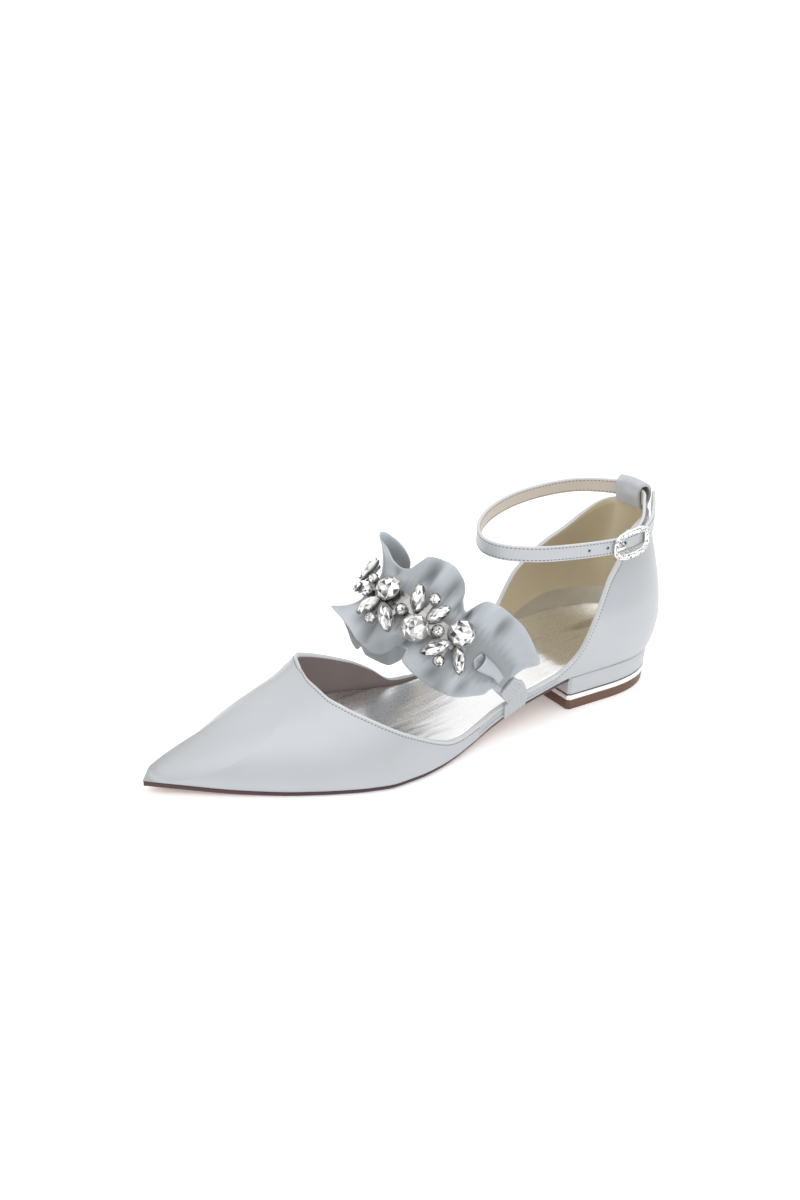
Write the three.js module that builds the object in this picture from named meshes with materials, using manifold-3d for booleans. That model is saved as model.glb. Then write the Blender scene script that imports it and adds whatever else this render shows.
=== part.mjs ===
// A pointed satin flat for the left foot, open at both sides of the waist, with an ankle strap
// and a ruffled, stone-set strap over the instep. Millimetres, +X to the toe, +Y to the wearer's
// left, +Z up. Lengths along the shoe are measured from the back of the counter, and the whole
// is then moved so that the centre of the heel lift's walking face is the origin.
import * as THREE from "three";
import Module from "manifold-3d";
import { mergeVertices } from "three/addons/utils/BufferGeometryUtils.js";

// Main form
const SHOE_LENGTH = 246.5;
const BALL_WIDTH = 79;
const VAMP_HEIGHT = 40;
const SEAT_HEIGHT = 16.1;
const COUNTER_HEIGHT = 61;
const WAIST_STRIP_HEIGHT = 6;
const WALL = 1.6;
const TOE_FILL = 7;
const GAP = 0.3;

// Sole and heel
const SOLE_THICKNESS = 2;
const SOLE_INSET = 0.6;
const INSOLE_THICKNESS = 5.4;
const SEAT_CUP = 0.9;
const INSOLE_CLEARANCE = 0.45;
const INSOLE_TOE_THICKNESS = 2;
const HEEL_LENGTH = 55.5;
const HEEL_TAPER = 0.97;
const HEEL_CORNER = 1.2;
const LIFT_HEIGHT = 4.7;
const BAND_HEIGHT = 2.4;
const BAND_PROUD = 0.35;

// Ankle strap, the loop that holds it and its buckle
const STRAP_HEIGHT = 7;
const STRAP_THICKNESS = 1.4;
const LOOP_WIDTH = 16;
const LOOP_THICKNESS = 1.2;
const LOOP_LEG = 4;
const LOOP_INNER_LEG = 1;
const LOOP_SLACK = 1.2;
const BUCKLE_LENGTH = 21;
const BUCKLE_HEIGHT = 13.5;
const RIM_WIDTH = 2.8;
const RIM_THICKNESS = 1.7;
const BAR_RADIUS = 0.7;
const PRONG_RADIUS = 0.55;
const PRONG_HOLE = 1.5;
const PUNCHED_HOLE = 0.75;
const HOLE_PITCH = 9.3;
const PRONG_AHEAD = 3.6;

// Instep strap, its tabs, the ruffle and the stones
const INSTEP_HEIGHT = 60;
const INSTEP_WIDTH = 10;
const INSTEP_THICKNESS = 1.6;
const INSTEP_LEAN = 38;
const TAB_WIDTH = 12;
const TAB_THICKNESS = 1.3;
const RIB_DEPTH = 0.5;
const RUFFLE_REACH = 24;
const RUFFLE_THICKNESS = 0.9;
const BASE_WIDTH = 8;
const BASE_THICKNESS = 0.8;
const SPINE_HEIGHT = 1.9;
const SETTING_HEIGHT = 1.2;
const ARM_WIDTH = 1.8;
const STONE_DEPTH = 3.8;

// Working shares of the shoe's length
const HEEL_BACK = 0.016;
const HEEL_ROUND = 0.145;
const HEEL_POWER = 2.4;
const INSOLE_THIN_FROM = 0.5;
const INSOLE_END = 0.93;
const CUP_FROM = 0.14;
const CUP_RIM_TO = 0.29;
const CUP_TO = 0.44;
const CUP_SIDE = 0.18;
const SOLE_FROM = 0.01;
const SOLE_TOE = 0.998;
const TOE_FROM = 0.75;
const WAIST_FROM = 0.308;
const WAIST_TO = 0.41;
const VAMP_FROM = 0.44;
const HEEL_MIDDLE = HEEL_BACK * SHOE_LENGTH + HEEL_LENGTH / 2;

// The seam between upper and sole: outer and inner edge as shares of the ball width, its height
// as a share of the seat height.
const SEAM_ROWS = [
  { at: 0.016, outer: 0.32, inner: -0.318, height: 1 },
  { at: 0.145, outer: 0.322, inner: -0.32, height: 1 },
  { at: 0.213, outer: 0.318, inner: -0.316, height: 1 },
  { at: 0.243, outer: 0.313, inner: -0.31, height: 1 },
  { at: 0.285, outer: 0.306, inner: -0.3, height: 0.87 },
  { at: 0.346, outer: 0.307, inner: -0.28, height: 0.67 },
  { at: 0.408, outer: 0.333, inner: -0.268, height: 0.46 },
  { at: 0.468, outer: 0.382, inner: -0.305, height: 0.27 },
  { at: 0.513, outer: 0.424, inner: -0.373, height: 0.18 },
  { at: 0.553, outer: 0.457, inner: -0.437, height: 0.149 },
  { at: 0.598, outer: 0.48, inner: -0.489, height: 0.143 },
  { at: 0.643, outer: 0.484, inner: -0.516, height: 0.143 },
  { at: 0.688, outer: 0.449, inner: -0.519, height: 0.143 },
  { at: 0.732, outer: 0.389, inner: -0.503, height: 0.143 },
  { at: 0.793, outer: 0.284, inner: -0.45, height: 0.143 },
  { at: 0.875, outer: 0.115, inner: -0.356, height: 0.19 },
  { at: 0.955, outer: -0.07, inner: -0.25, height: 0.3 },
  { at: 0.986, outer: -0.142, inner: -0.206, height: 0.35 },
  { at: 1, outer: -0.176, inner: -0.178, height: 0.375 },
];

// The last over the seam: height of its ridge as a share of the vamp height, and the ridge's
// place across as a share of the ball width.
const RIDGE_ROWS = [
  { at: 0.273, height: 1.95, across: -0.03 },
  { at: 0.408, height: 1.75, across: -0.05 },
  { at: 0.533, height: 1.48, across: -0.09 },
  { at: 0.626, height: 1.19, across: -0.13 },
  { at: 0.709, height: 0.87, across: -0.155 },
  { at: 0.792, height: 0.695, across: -0.165 },
  { at: 0.876, height: 0.545, across: -0.17 },
  { at: 0.948, height: 0.4, across: -0.172 },
  { at: 0.986, height: 0.29, across: -0.175 },
  { at: 1, height: 0.21, across: -0.177 },
];
const SIDE_FULLNESS = 2.3;
const CROWN_FULLNESS = 1.9;

// From the throat on, the inner side of the forepart is flatter than the outer one.
const INNER_SIDE_FULLNESS = 1.85;
const INNER_CROWN_FULLNESS = 1.5;
const FLAT_FROM = 0.62;
const FLAT_TO = 0.74;

// How far the counter leans out from the seam, in shares of the counter height both ways.
const COUNTER_ROWS = [
  { at: 0, back: 0, side: 0 },
  { at: 0.13, back: 0.045, side: 0.036 },
  { at: 0.28, back: 0.062, side: 0.058 },
  { at: 0.42, back: 0.054, side: 0.05 },
  { at: 0.56, back: 0.043, side: 0.008 },
  { at: 0.7, back: 0.028, side: -0.06 },
  { at: 0.84, back: 0.003, side: -0.135 },
  { at: 1, back: -0.03, side: -0.21 },
];

// Height of the counter's top edge over the seam, by the place of its foot along the shoe.
const COLLAR_ROWS = [
  { at: 0.016, outer: 1, inner: 1 },
  { at: 0.033, outer: 0.985, inner: 0.985 },
  { at: 0.063, outer: 0.94, inner: 0.945 },
  { at: 0.094, outer: 0.87, inner: 0.885 },
  { at: 0.127, outer: 0.765, inner: 0.79 },
  { at: 0.159, outer: 0.67, inner: 0.7 },
  { at: 0.183, outer: 0.56, inner: 0.595 },
  { at: 0.205, outer: 0.43, inner: 0.48 },
  { at: 0.221, outer: 0.31, inner: 0.365 },
  { at: 0.237, outer: 0.2, inner: 0.255 },
  { at: 0.258, outer: 0.125, inner: 0.165 },
  { at: 0.278, outer: 0.1, inner: 0.11 },
  { at: 0.305, outer: 0.0984, inner: 0.0984 },
];

// The vamp's top edge: for a foot on the seam, where the edge lies along the shoe and how far
// round the section it has turned, from 0 at the outer seam to 180 degrees at the inner one.
const THROAT_OUTER_ROWS = [
  { at: 0.439, along: 0.439, turn: 6.3 },
  { at: 0.481, along: 0.481, turn: 6.8 },
  { at: 0.522, along: 0.517, turn: 8.5 },
  { at: 0.564, along: 0.555, turn: 13.2 },
  { at: 0.616, along: 0.597, turn: 21 },
  { at: 0.668, along: 0.631, turn: 29 },
  { at: 0.73, along: 0.6657, turn: 41.8 },
  { at: 0.802, along: 0.6913, turn: 55.8 },
  { at: 0.886, along: 0.705, turn: 69 },
  { at: 0.958, along: 0.7067, turn: 82 },
  { at: 1, along: 0.6983, turn: 92.5 },
];
const THROAT_INNER_ROWS = [
  { at: 0.439, along: 0.439, turn: 173.7 },
  { at: 0.481, along: 0.481, turn: 172.5 },
  { at: 0.522, along: 0.512, turn: 166 },
  { at: 0.564, along: 0.541, turn: 160.5 },
  { at: 0.616, along: 0.574, turn: 155 },
  { at: 0.668, along: 0.604, turn: 149 },
  { at: 0.73, along: 0.637, turn: 140 },
  { at: 0.802, along: 0.663, turn: 126 },
  { at: 0.886, along: 0.6825, turn: 110 },
  { at: 0.958, along: 0.6935, turn: 98.5 },
  { at: 1, along: 0.6983, turn: 92.5 },
];

// Where the upper's lines stand on the seam, from the heel's round to the toe.
const HEEL_TURNS = 8;
const SIDE_STATIONS = [
  0.16, 0.175, 0.19, 0.205, 0.218, 0.232, 0.246, 0.262, 0.282, 0.313, 0.343, 0.376, 0.407, 0.438,
  0.471, 0.501, 0.532, 0.562, 0.595, 0.631, 0.668, 0.705, 0.74, 0.781, 0.822, 0.863, 0.903, 0.942,
  0.974, 0.991,
];
const WALL_LEVELS = [0, 0.06, 0.16, 0.3, 0.45, 0.6, 0.75, 0.88, 1];

// The ankle strap's middle from the buckle's bar round the heel, the inner side and the front to
// its tail behind the buckle. Its rise is in strap heights over its seat on the counter, and its
// top edge leans in toward the leg by degrees.
const ANKLE_ROWS = [
  { along: 0.1432, across: 0.349, rise: -0.71, lean: 0 },
  { along: 0.1197, across: 0.334, rise: -0.66, lean: 0 },
  { along: 0.0872, across: 0.273, rise: -0.47, lean: 2 },
  { along: 0.0540, across: 0.162, rise: -0.14, lean: 4 },
  { along: 0.0357, across: 0.092, rise: 0.00, lean: 3 },
  { along: 0.0280, across: 0.025, rise: 0.00, lean: 3 },
  { along: 0.0272, across: -0.038, rise: 0.00, lean: 3 },
  { along: 0.0320, across: -0.104, rise: 0.00, lean: 3 },
  { along: 0.0548, across: -0.190, rise: 0.01, lean: 8 },
  { along: 0.0994, across: -0.262, rise: 0.10, lean: 13 },
  { along: 0.1643, across: -0.297, rise: 0.10, lean: 12 },
  { along: 0.2373, across: -0.285, rise: 0.03, lean: 8 },
  { along: 0.3103, across: -0.203, rise: -0.09, lean: 4 },
  { along: 0.3631, across: -0.063, rise: -0.21, lean: 0 },
  { along: 0.3834, across: 0.076, rise: -0.24, lean: 0 },
  { along: 0.3732, across: 0.209, rise: -0.20, lean: 0 },
  { along: 0.3266, across: 0.316, rise: -0.26, lean: 0 },
  { along: 0.2617, across: 0.366, rise: -0.43, lean: 0 },
  { along: 0.2049, across: 0.382, rise: -0.61, lean: 0 },
  { along: 0.1724, across: 0.386, rise: -0.69, lean: 0 },
  { along: 0.1400, across: 0.377, rise: -0.70, lean: 0 },
  { along: 0.1075, across: 0.353, rise: -0.63, lean: 0 },
  { along: 0.0751, across: 0.295, rise: -0.49, lean: 0 },
  { along: 0.0446, across: 0.203, rise: -0.30, lean: 0 },
  { along: 0.0203, across: 0.114, rise: -0.10, lean: 0 },
  { along: 0.0061, across: 0.063, rise: 0.04, lean: 0 },
];
const ANKLE_STEPS = 66;
const RIM_STEPS = 28;
const RIM_POWER = 3;
const PIN_SIDES = 8;
const TAIL_TIP = 0.975;
const TAIL_WIDTH = 0.5;
const TAIL_FROM = 0.7;
const SEARCH_STEP = 0.25;

// The buckle rim's section: across the rim and out of it, in shares of its half width and half
// thickness.
const RIM_ROWS = [
  { side: -1, out: -1 },
  { side: -1, out: 0.3 },
  { side: -0.5, out: 1 },
  { side: 0.5, out: 1 },
  { side: 1, out: 0.3 },
  { side: 1, out: -1 },
];

// The heel loop's inside over the counter's edge, in shares of the strap's room both ways.
const LOOP_ROWS = [
  { away: -1, rise: 0.42 },
  { away: -1, rise: 0.78 },
  { away: -0.75, rise: 0.94 },
  { away: 0, rise: 1 },
  { away: 0.75, rise: 0.94 },
  { away: 1, rise: 0.78 },
  { away: 1, rise: 0.42 },
];
const LOOP_ACROSS = -0.028;
const LOOP_STATIONS = 7;

// The instep strap's middle from the outer side over the instep to the inner side.
const INSTEP_ROWS = [
  { along: 0.3915, across: 0.344, rise: 0.400 },
  { along: 0.4260, across: 0.332, rise: 0.575 },
  { along: 0.4645, across: 0.285, rise: 0.725 },
  { along: 0.4970, across: 0.184, rise: 0.842 },
  { along: 0.5213, across: 0.051, rise: 0.950 },
  { along: 0.5335, across: -0.101, rise: 1.000 },
  { along: 0.5375, across: -0.222, rise: 0.980 },
  { along: 0.5233, across: -0.310, rise: 0.875 },
  { along: 0.4929, across: -0.358, rise: 0.717 },
  { along: 0.4523, across: -0.363, rise: 0.550 },
  { along: 0.4158, across: -0.342, rise: 0.408 },
];
const INSTEP_AT = { outer: 0.368, inner: 0.386 };
const INSTEP_STEPS = 32;

// The ribbed tabs: rows on the waist strip by their share of its height, then rows on the strap
// by their distance up it in tab widths.
const TAB_FOOT_ROWS = [
  { height: 0.07, width: 1 },
  { height: 0.55, width: 1 },
  { height: 1.03, width: 0.97 },
];
const TAB_STRAP_ROWS = [
  { up: 0.2, width: 0.94 },
  { up: 0.45, width: 0.87 },
  { up: 0.68, width: 0.79 },
  { up: 0.87, width: 0.7 },
];
const TAB_COLUMNS = 9;

// The ruffle's free edges from one tab to the other: how far each reaches from the strap's
// middle, how far its folds lift out of the strap's face and how far they lean along it.
const RUFFLE_REAR_ROWS = [
  { at: 0.000, reach: 0.17, lift: 0.04, lean: 0.00 },
  { at: 0.017, reach: 0.38, lift: 0.12, lean: -0.08 },
  { at: 0.034, reach: 0.65, lift: 0.21, lean: -0.29 },
  { at: 0.059, reach: 0.77, lift: 0.15, lean: -0.20 },
  { at: 0.101, reach: 0.92, lift: 0.08, lean: 0.00 },
  { at: 0.175, reach: 0.94, lift: 0.12, lean: 0.00 },
  { at: 0.224, reach: 0.90, lift: 0.02, lean: 0.00 },
  { at: 0.249, reach: 0.71, lift: -0.12, lean: 0.00 },
  { at: 0.269, reach: 0.54, lift: 0.04, lean: 0.00 },
  { at: 0.298, reach: 0.71, lift: -0.21, lean: 0.00 },
  { at: 0.326, reach: 0.92, lift: -0.33, lean: 0.00 },
  { at: 0.355, reach: 1.00, lift: -0.08, lean: 0.00 },
  { at: 0.396, reach: 1.03, lift: 0.14, lean: 0.00 },
  { at: 0.437, reach: 0.99, lift: 0.21, lean: 0.00 },
  { at: 0.465, reach: 0.88, lift: 0.29, lean: 0.00 },
  { at: 0.486, reach: 0.73, lift: 0.17, lean: 0.00 },
  { at: 0.510, reach: 0.56, lift: 0.06, lean: 0.00 },
  { at: 0.535, reach: 0.54, lift: 0.02, lean: 0.00 },
  { at: 0.559, reach: 0.56, lift: 0.09, lean: 0.00 },
  { at: 0.592, reach: 0.71, lift: 0.29, lean: 0.00 },
  { at: 0.625, reach: 0.83, lift: 0.51, lean: 0.00 },
  { at: 0.649, reach: 0.93, lift: 0.58, lean: -0.08 },
  { at: 0.678, reach: 1.00, lift: 0.40, lean: -0.33 },
  { at: 0.706, reach: 0.99, lift: 0.04, lean: -0.58 },
  { at: 0.739, reach: 0.95, lift: -0.27, lean: -0.67 },
  { at: 0.764, reach: 0.88, lift: -0.38, lean: -0.58 },
  { at: 0.788, reach: 0.71, lift: -0.33, lean: -0.38 },
  { at: 0.821, reach: 0.58, lift: -0.04, lean: -0.08 },
  { at: 0.870, reach: 0.83, lift: 0.21, lean: 0.08 },
  { at: 0.913, reach: 0.88, lift: 0.21, lean: 0.11 },
  { at: 0.935, reach: 0.71, lift: -0.08, lean: 0.17 },
  { at: 0.960, reach: 0.62, lift: 0.17, lean: 0.29 },
  { at: 0.981, reach: 0.42, lift: 0.12, lean: 0.29 },
  { at: 1.000, reach: 0.17, lift: 0.04, lean: 0.00 },
];
const RUFFLE_FRONT_ROWS = [
  { at: 0.000, reach: 0.17, lift: 0.04, lean: 0.00 },
  { at: 0.030, reach: 0.23, lift: 0.04, lean: 0.00 },
  { at: 0.055, reach: 0.31, lift: 0.03, lean: -0.08 },
  { at: 0.076, reach: 0.43, lift: 0.07, lean: -0.12 },
  { at: 0.093, reach: 0.60, lift: 0.00, lean: -0.04 },
  { at: 0.126, reach: 0.75, lift: -0.04, lean: 0.00 },
  { at: 0.159, reach: 0.82, lift: -0.10, lean: 0.00 },
  { at: 0.216, reach: 0.85, lift: -0.33, lean: 0.00 },
  { at: 0.265, reach: 0.85, lift: -0.08, lean: 0.15 },
  { at: 0.314, reach: 0.80, lift: -0.06, lean: 0.15 },
  { at: 0.355, reach: 0.60, lift: 0.04, lean: 0.00 },
  { at: 0.388, reach: 0.60, lift: -0.25, lean: 0.00 },
  { at: 0.437, reach: 0.85, lift: -0.50, lean: 0.00 },
  { at: 0.478, reach: 0.98, lift: -0.29, lean: 0.00 },
  { at: 0.518, reach: 0.97, lift: -0.04, lean: 0.00 },
  { at: 0.559, reach: 0.88, lift: 0.10, lean: 0.00 },
  { at: 0.625, reach: 0.69, lift: 0.33, lean: 0.00 },
  { at: 0.674, reach: 0.60, lift: 0.21, lean: 0.00 },
  { at: 0.723, reach: 0.71, lift: -0.04, lean: 0.00 },
  { at: 0.780, reach: 0.83, lift: -0.17, lean: 0.00 },
  { at: 0.837, reach: 0.71, lift: 0.17, lean: 0.00 },
  { at: 0.895, reach: 0.79, lift: 0.21, lean: 0.00 },
  { at: 0.926, reach: 0.71, lift: -0.08, lean: 0.13 },
  { at: 0.951, reach: 0.50, lift: 0.04, lean: 0.25 },
  { at: 0.977, reach: 0.29, lift: 0.06, lean: 0.08 },
  { at: 1.000, reach: 0.17, lift: 0.04, lean: 0.00 },
];
const RUFFLE_STEPS = 62;
const RUFFLE_COLUMNS = 4;
const RUFFLE_FLAT = 5.8;
const RUFFLE_CURVE = 1.7;
const LEAF_POWER = 1.3;
const SETTING_SIDES = 8;
const SMALL_SIDES = 8;
const STONE_SIDES = 12;
const BASE_STEPS = 14;
const SMALL_DEPTH = 0.7;
const SETTING_FOOT = 0.72;
const SETTING_RIM = 0.86;

// A stone's layers from its foot: outline scale and level in stone depths.
const STONE_LAYERS = [
  { scale: 0.66, level: 0 },
  { scale: 1, level: 0.34 },
  { scale: 0.96, level: 0.5 },
  { scale: 0.52, level: 1 },
];

// The stones over the ruffle: their place along the instep strap, how far they lie ahead of its
// middle in strap widths, how far the folds under them raise them in stone depths, and their
// length, width and turn.
const STONE_ROWS = [
  { kind: "round", at: 0.508, ahead: -0.10, up: 0, length: 10.8, width: 10.8, turn: 0 },
  { kind: "round", at: 0.389, ahead: 0.59, up: 0.2, length: 11, width: 11, turn: 0 },
  { kind: "round", at: 0.285, ahead: -0.39, up: 0, length: 10.8, width: 10.8, turn: 0 },
  { kind: "leaf", at: 0.429, ahead: -0.49, up: 0, length: 11.6, width: 6.2, turn: 118 },
  { kind: "leaf", at: 0.366, ahead: -0.45, up: 0, length: 11, width: 5.4, turn: 66 },
  { kind: "leaf", at: 0.322, ahead: 0.73, up: 0.2, length: 12.6, width: 6.2, turn: 52 },
  { kind: "leaf", at: 0.258, ahead: 0.62, up: 0.2, length: 11, width: 5.2, turn: 126 },
  { kind: "leaf", at: 0.458, ahead: 0.99, up: 0.2, length: 12.8, width: 6, turn: 142 },
  { kind: "leaf", at: 0.522, ahead: 0.96, up: 0.2, length: 10.6, width: 5.2, turn: 69 },
  { kind: "leaf", at: 0.599, ahead: -0.60, up: 0.2, length: 11, width: 5.2, turn: 84 },
  { kind: "small", at: 0.396, ahead: -0.86, up: 0.2, length: 4.6, width: 4.6, turn: 0 },
  { kind: "small", at: 0.444, ahead: 0.30, up: 0, length: 4.8, width: 4.8, turn: 0 },
  { kind: "small", at: 0.340, ahead: 0.09, up: 0, length: 5, width: 5, turn: 0 },
  { kind: "small", at: 0.298, ahead: 1.09, up: 0.2, length: 4.6, width: 4.6, turn: 0 },
  { kind: "small", at: 0.492, ahead: 1.36, up: 0.2, length: 4.6, width: 4.6, turn: 0 },
  { kind: "small", at: 0.557, ahead: 0.37, up: 0, length: 4.8, width: 4.8, turn: 0 },
  { kind: "small", at: 0.564, ahead: -0.24, up: 0, length: 4.4, width: 4.4, turn: 0 },
  { kind: "small", at: 0.606, ahead: 0.24, up: 0, length: 4.8, width: 4.8, turn: 0 },
];

const wasm = await Module();
wasm.setup();

// A smooth curve through one column of a table that never swings past its rows.
function columnCurve(rows, column) {
  const x = rows.map((row) => row.at);
  const y = rows.map((row) => row[column]);
  const slopes = x.slice(1).map((next, i) => (y[i + 1] - y[i]) / (next - x[i]));
  const tangents = x.map((_, i) => {
    if (i === 0) return slopes[0];
    if (i === x.length - 1) return slopes[i - 1];
    if (slopes[i - 1] * slopes[i] <= 0) return 0;
    return (2 * slopes[i - 1] * slopes[i]) / (slopes[i - 1] + slopes[i]);
  });
  return (at) => {
    const clamped = Math.min(Math.max(at, x[0]), x[x.length - 1]);
    const i = Math.min(Math.max(x.findIndex((value) => value >= clamped), 1), x.length - 1) - 1;
    const span = x[i + 1] - x[i];
    const t = (clamped - x[i]) / span;
    return (
      y[i] * (1 + 2 * t) * (1 - t) ** 2 +
      tangents[i] * span * t * (1 - t) ** 2 +
      y[i + 1] * t * t * (3 - 2 * t) +
      tangents[i + 1] * span * t * t * (t - 1)
    );
  };
}

const mix = (a, b, share) => a + (b - a) * share;
const ease = (from, to, value) => THREE.MathUtils.smoothstep(value, from, to);
const radians = THREE.MathUtils.degToRad;

const outerEdge = columnCurve(SEAM_ROWS, "outer");
const innerEdge = columnCurve(SEAM_ROWS, "inner");
const seamLevel = columnCurve(SEAM_ROWS, "height");
const ridgeHeight = columnCurve(RIDGE_ROWS, "height");
const ridgeAcross = columnCurve(RIDGE_ROWS, "across");
const backLean = columnCurve(COUNTER_ROWS, "back");
const sideLean = columnCurve(COUNTER_ROWS, "side");

// Height of the seam at a place along the shoe.
const seamHeight = (along) => seamLevel(along) * SEAT_HEIGHT;

// The seam's point on one side. The heel's round is a full ellipse arc that the turn walks.
function seamPoint(along, side, turn = Math.PI / 2) {
  const edge = side > 0 ? outerEdge(along) : innerEdge(along);
  const rounding = Math.sin(turn) ** (2 / HEEL_POWER);
  return new THREE.Vector3(along * SHOE_LENGTH, edge * BALL_WIDTH * rounding, seamHeight(along));
}

const heelAlong = (turn) =>
  HEEL_ROUND - (HEEL_ROUND - HEEL_BACK) * Math.max(Math.cos(turn), 0) ** (2 / HEEL_POWER);

// The stations of one side from the back centre to the toe, each with its seam point.
function sideStations(side) {
  const stations = [];
  for (let i = 0; i <= HEEL_TURNS; i++) {
    const turn = (Math.PI / 2) * (i / HEEL_TURNS);
    stations.push({ along: heelAlong(turn), side, turn });
  }
  SIDE_STATIONS.forEach((along) => stations.push({ along, side, turn: Math.PI / 2 }));
  return stations;
}

// All stations once round the shoe: outer side to the toe, then inner side back to the heel.
function ringStations() {
  const inner = sideStations(-1).slice(1).reverse();
  const ring = [...sideStations(1), { along: 1, side: 1, turn: Math.PI / 2, tip: true }, ...inner];
  ring.forEach((station) => {
    station.foot = seamPoint(station.along, station.side, station.turn);
  });
  ring.forEach((station, i) => {
    const before = ring[(i + ring.length - 1) % ring.length].foot;
    const after = ring[(i + 1) % ring.length].foot;
    station.out = new THREE.Vector2(after.y - before.y, before.x - after.x).normalize().negate();
  });
  return ring;
}

// How full the forepart's section is on its side and toward its crown.
function fullness(along, outer) {
  const flat = outer ? 0 : ease(FLAT_FROM, FLAT_TO, along);
  const side = mix(SIDE_FULLNESS, INNER_SIDE_FULLNESS, flat);
  return { side, crown: mix(CROWN_FULLNESS, INNER_CROWN_FULLNESS, flat) };
}

// A point of the last's forepart: its section at a place along the shoe, turned from the outer
// seam over the ridge to the inner seam, moved in by an inset.
function lastPoint(along, turn, inset) {
  const low = seamHeight(along);
  const top = ridgeHeight(along) * VAMP_HEIGHT - inset;
  const middle = ridgeAcross(along) * BALL_WIDTH;
  const outer = turn < Math.PI / 2;
  const edge = outer ? outerEdge(along) * BALL_WIDTH - inset : innerEdge(along) * BALL_WIDTH + inset;
  const full = fullness(along, outer);
  const reach = Math.abs(Math.cos(turn)) ** (2 / full.side);
  const rise = Math.sin(turn) ** (2 / full.crown);
  return new THREE.Vector3(along * SHOE_LENGTH, mix(middle, edge, reach), mix(low, top, rise));
}

// The turn at which the section has risen by a height over the seam.
function turnAtHeight(along, height, side) {
  const full = ridgeHeight(along) * VAMP_HEIGHT - seamHeight(along);
  const turn = Math.asin(Math.min(height / full, 1) ** (fullness(along, side > 0).crown / 2));
  return side > 0 ? turn : Math.PI - turn;
}

// A point of the counter and waist: straight up from the seam, leaning out by the table.
function counterPoint(station, height, inset) {
  const level = height / COUNTER_HEIGHT;
  const behind = Math.max(-station.out.x, 0) ** 1.5;
  const lean = mix(sideLean(level), backLean(level), behind) * COUNTER_HEIGHT - inset;
  const base = station.foot;
  return new THREE.Vector3(base.x + station.out.x * lean, base.y + station.out.y * lean, base.z + height);
}

const collar = { outer: columnCurve(COLLAR_ROWS, "outer"), inner: columnCurve(COLLAR_ROWS, "inner") };
const throat = {
  outer: { along: columnCurve(THROAT_OUTER_ROWS, "along"), turn: columnCurve(THROAT_OUTER_ROWS, "turn") },
  inner: { along: columnCurve(THROAT_INNER_ROWS, "along"), turn: columnCurve(THROAT_INNER_ROWS, "turn") },
};

// The toe's inside stops short of its outside, so that the tip stays filled.
function pulledBack(along, inset) {
  const room = 1 - TOE_FROM;
  if (inset === 0 || along <= TOE_FROM) return along;
  return TOE_FROM + ((along - TOE_FROM) * (room - TOE_FILL / SHOE_LENGTH)) / room;
}

// A point of the side wall at a height over the seam: the counter's surface passes into the last's.
function sidePoint(station, height, inset) {
  const rear = counterPoint(station, height, inset);
  const fore = lastPoint(station.along, turnAtHeight(station.along, height, station.side), inset);
  return rear.lerp(fore, ease(WAIST_FROM, WAIST_TO, station.along));
}

// The upper's surface over a station, from the seam at 0 to the top edge at 1. At the toe's tip
// it follows the ridge and then drops to the seam.
function upperPoint(station, level, inset) {
  const name = station.side > 0 ? "outer" : "inner";
  if (station.along < VAMP_FROM) {
    const height = level * Math.max(collar[name](station.along) * COUNTER_HEIGHT, WAIST_STRIP_HEIGHT);
    return sidePoint(station, height, inset);
  }
  const edgeTurn = radians(throat[name].turn(station.along));
  const edgeAlong = throat[name].along(station.along);
  const footTurn = station.tip ? Math.PI / 2 : station.side > 0 ? 0 : Math.PI;
  const along = pulledBack(mix(station.along, edgeAlong, level), inset);
  const point = lastPoint(along, mix(footTurn, edgeTurn, level), inset);
  if (station.tip && level === 0) point.z = seamHeight(along);
  return point;
}

// A closed solid from rings of equal length. Rings either close on each other or end in caps.
function solidFromRings(rings, closed) {
  const count = rings[0].length;
  const positions = rings.flat().flatMap((point) => [point.x, point.y, point.z]);
  const faces = [];
  const last = closed ? rings.length : rings.length - 1;
  for (let r = 0; r < last; r++) {
    const here = r * count;
    const next = ((r + 1) % rings.length) * count;
    for (let i = 0; i < count; i++) {
      const j = (i + 1) % count;
      faces.push(here + i, here + j, next + j, here + i, next + j, next + i);
    }
  }
  if (!closed) {
    const end = (rings.length - 1) * count;
    for (let i = 1; i < count - 1; i++) {
      faces.push(0, i + 1, i);
      faces.push(end, end + i, end + i + 1);
    }
  }
  const geometry = new THREE.BufferGeometry();
  geometry.setAttribute("position", new THREE.Float32BufferAttribute(positions, 3));
  geometry.setIndex(faces);
  return outward(geometry);
}

// The geometry with its faces pointing out, whichever way its rings ran.
function outward(geometry) {
  const merged = mergeVertices(geometry, 1e-4);
  const index = merged.index.array;
  const point = (i) => new THREE.Vector3().fromBufferAttribute(merged.attributes.position, index[i]);
  let volume = 0;
  for (let i = 0; i < index.length; i += 3) {
    volume += point(i).dot(point(i + 1).cross(point(i + 2)));
  }
  if (volume < 0) {
    for (let i = 0; i < index.length; i += 3) [index[i + 1], index[i + 2]] = [index[i + 2], index[i + 1]];
  }
  return merged;
}

const materials = {
  satin: new THREE.MeshStandardMaterial({ color: 0xb4bcc2, roughness: 0.42 }),
  sock: new THREE.MeshStandardMaterial({ color: 0xc9c9c9, roughness: 0.3, metalness: 0.8 }),
  sole: new THREE.MeshStandardMaterial({ color: 0x6d4334, roughness: 0.55 }),
  silver: new THREE.MeshStandardMaterial({ color: 0xe6e6e4, roughness: 0.18, metalness: 1 }),
  lift: new THREE.MeshStandardMaterial({ color: 0x8a4b2c, roughness: 0.5 }),
  claw: new THREE.MeshStandardMaterial({ color: 0x4a4a4e, roughness: 0.3, metalness: 1 }),
  stone: new THREE.MeshStandardMaterial({ color: 0xf2f2f2, roughness: 0.05 }),
};

const shoe = new THREE.Group();

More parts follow.
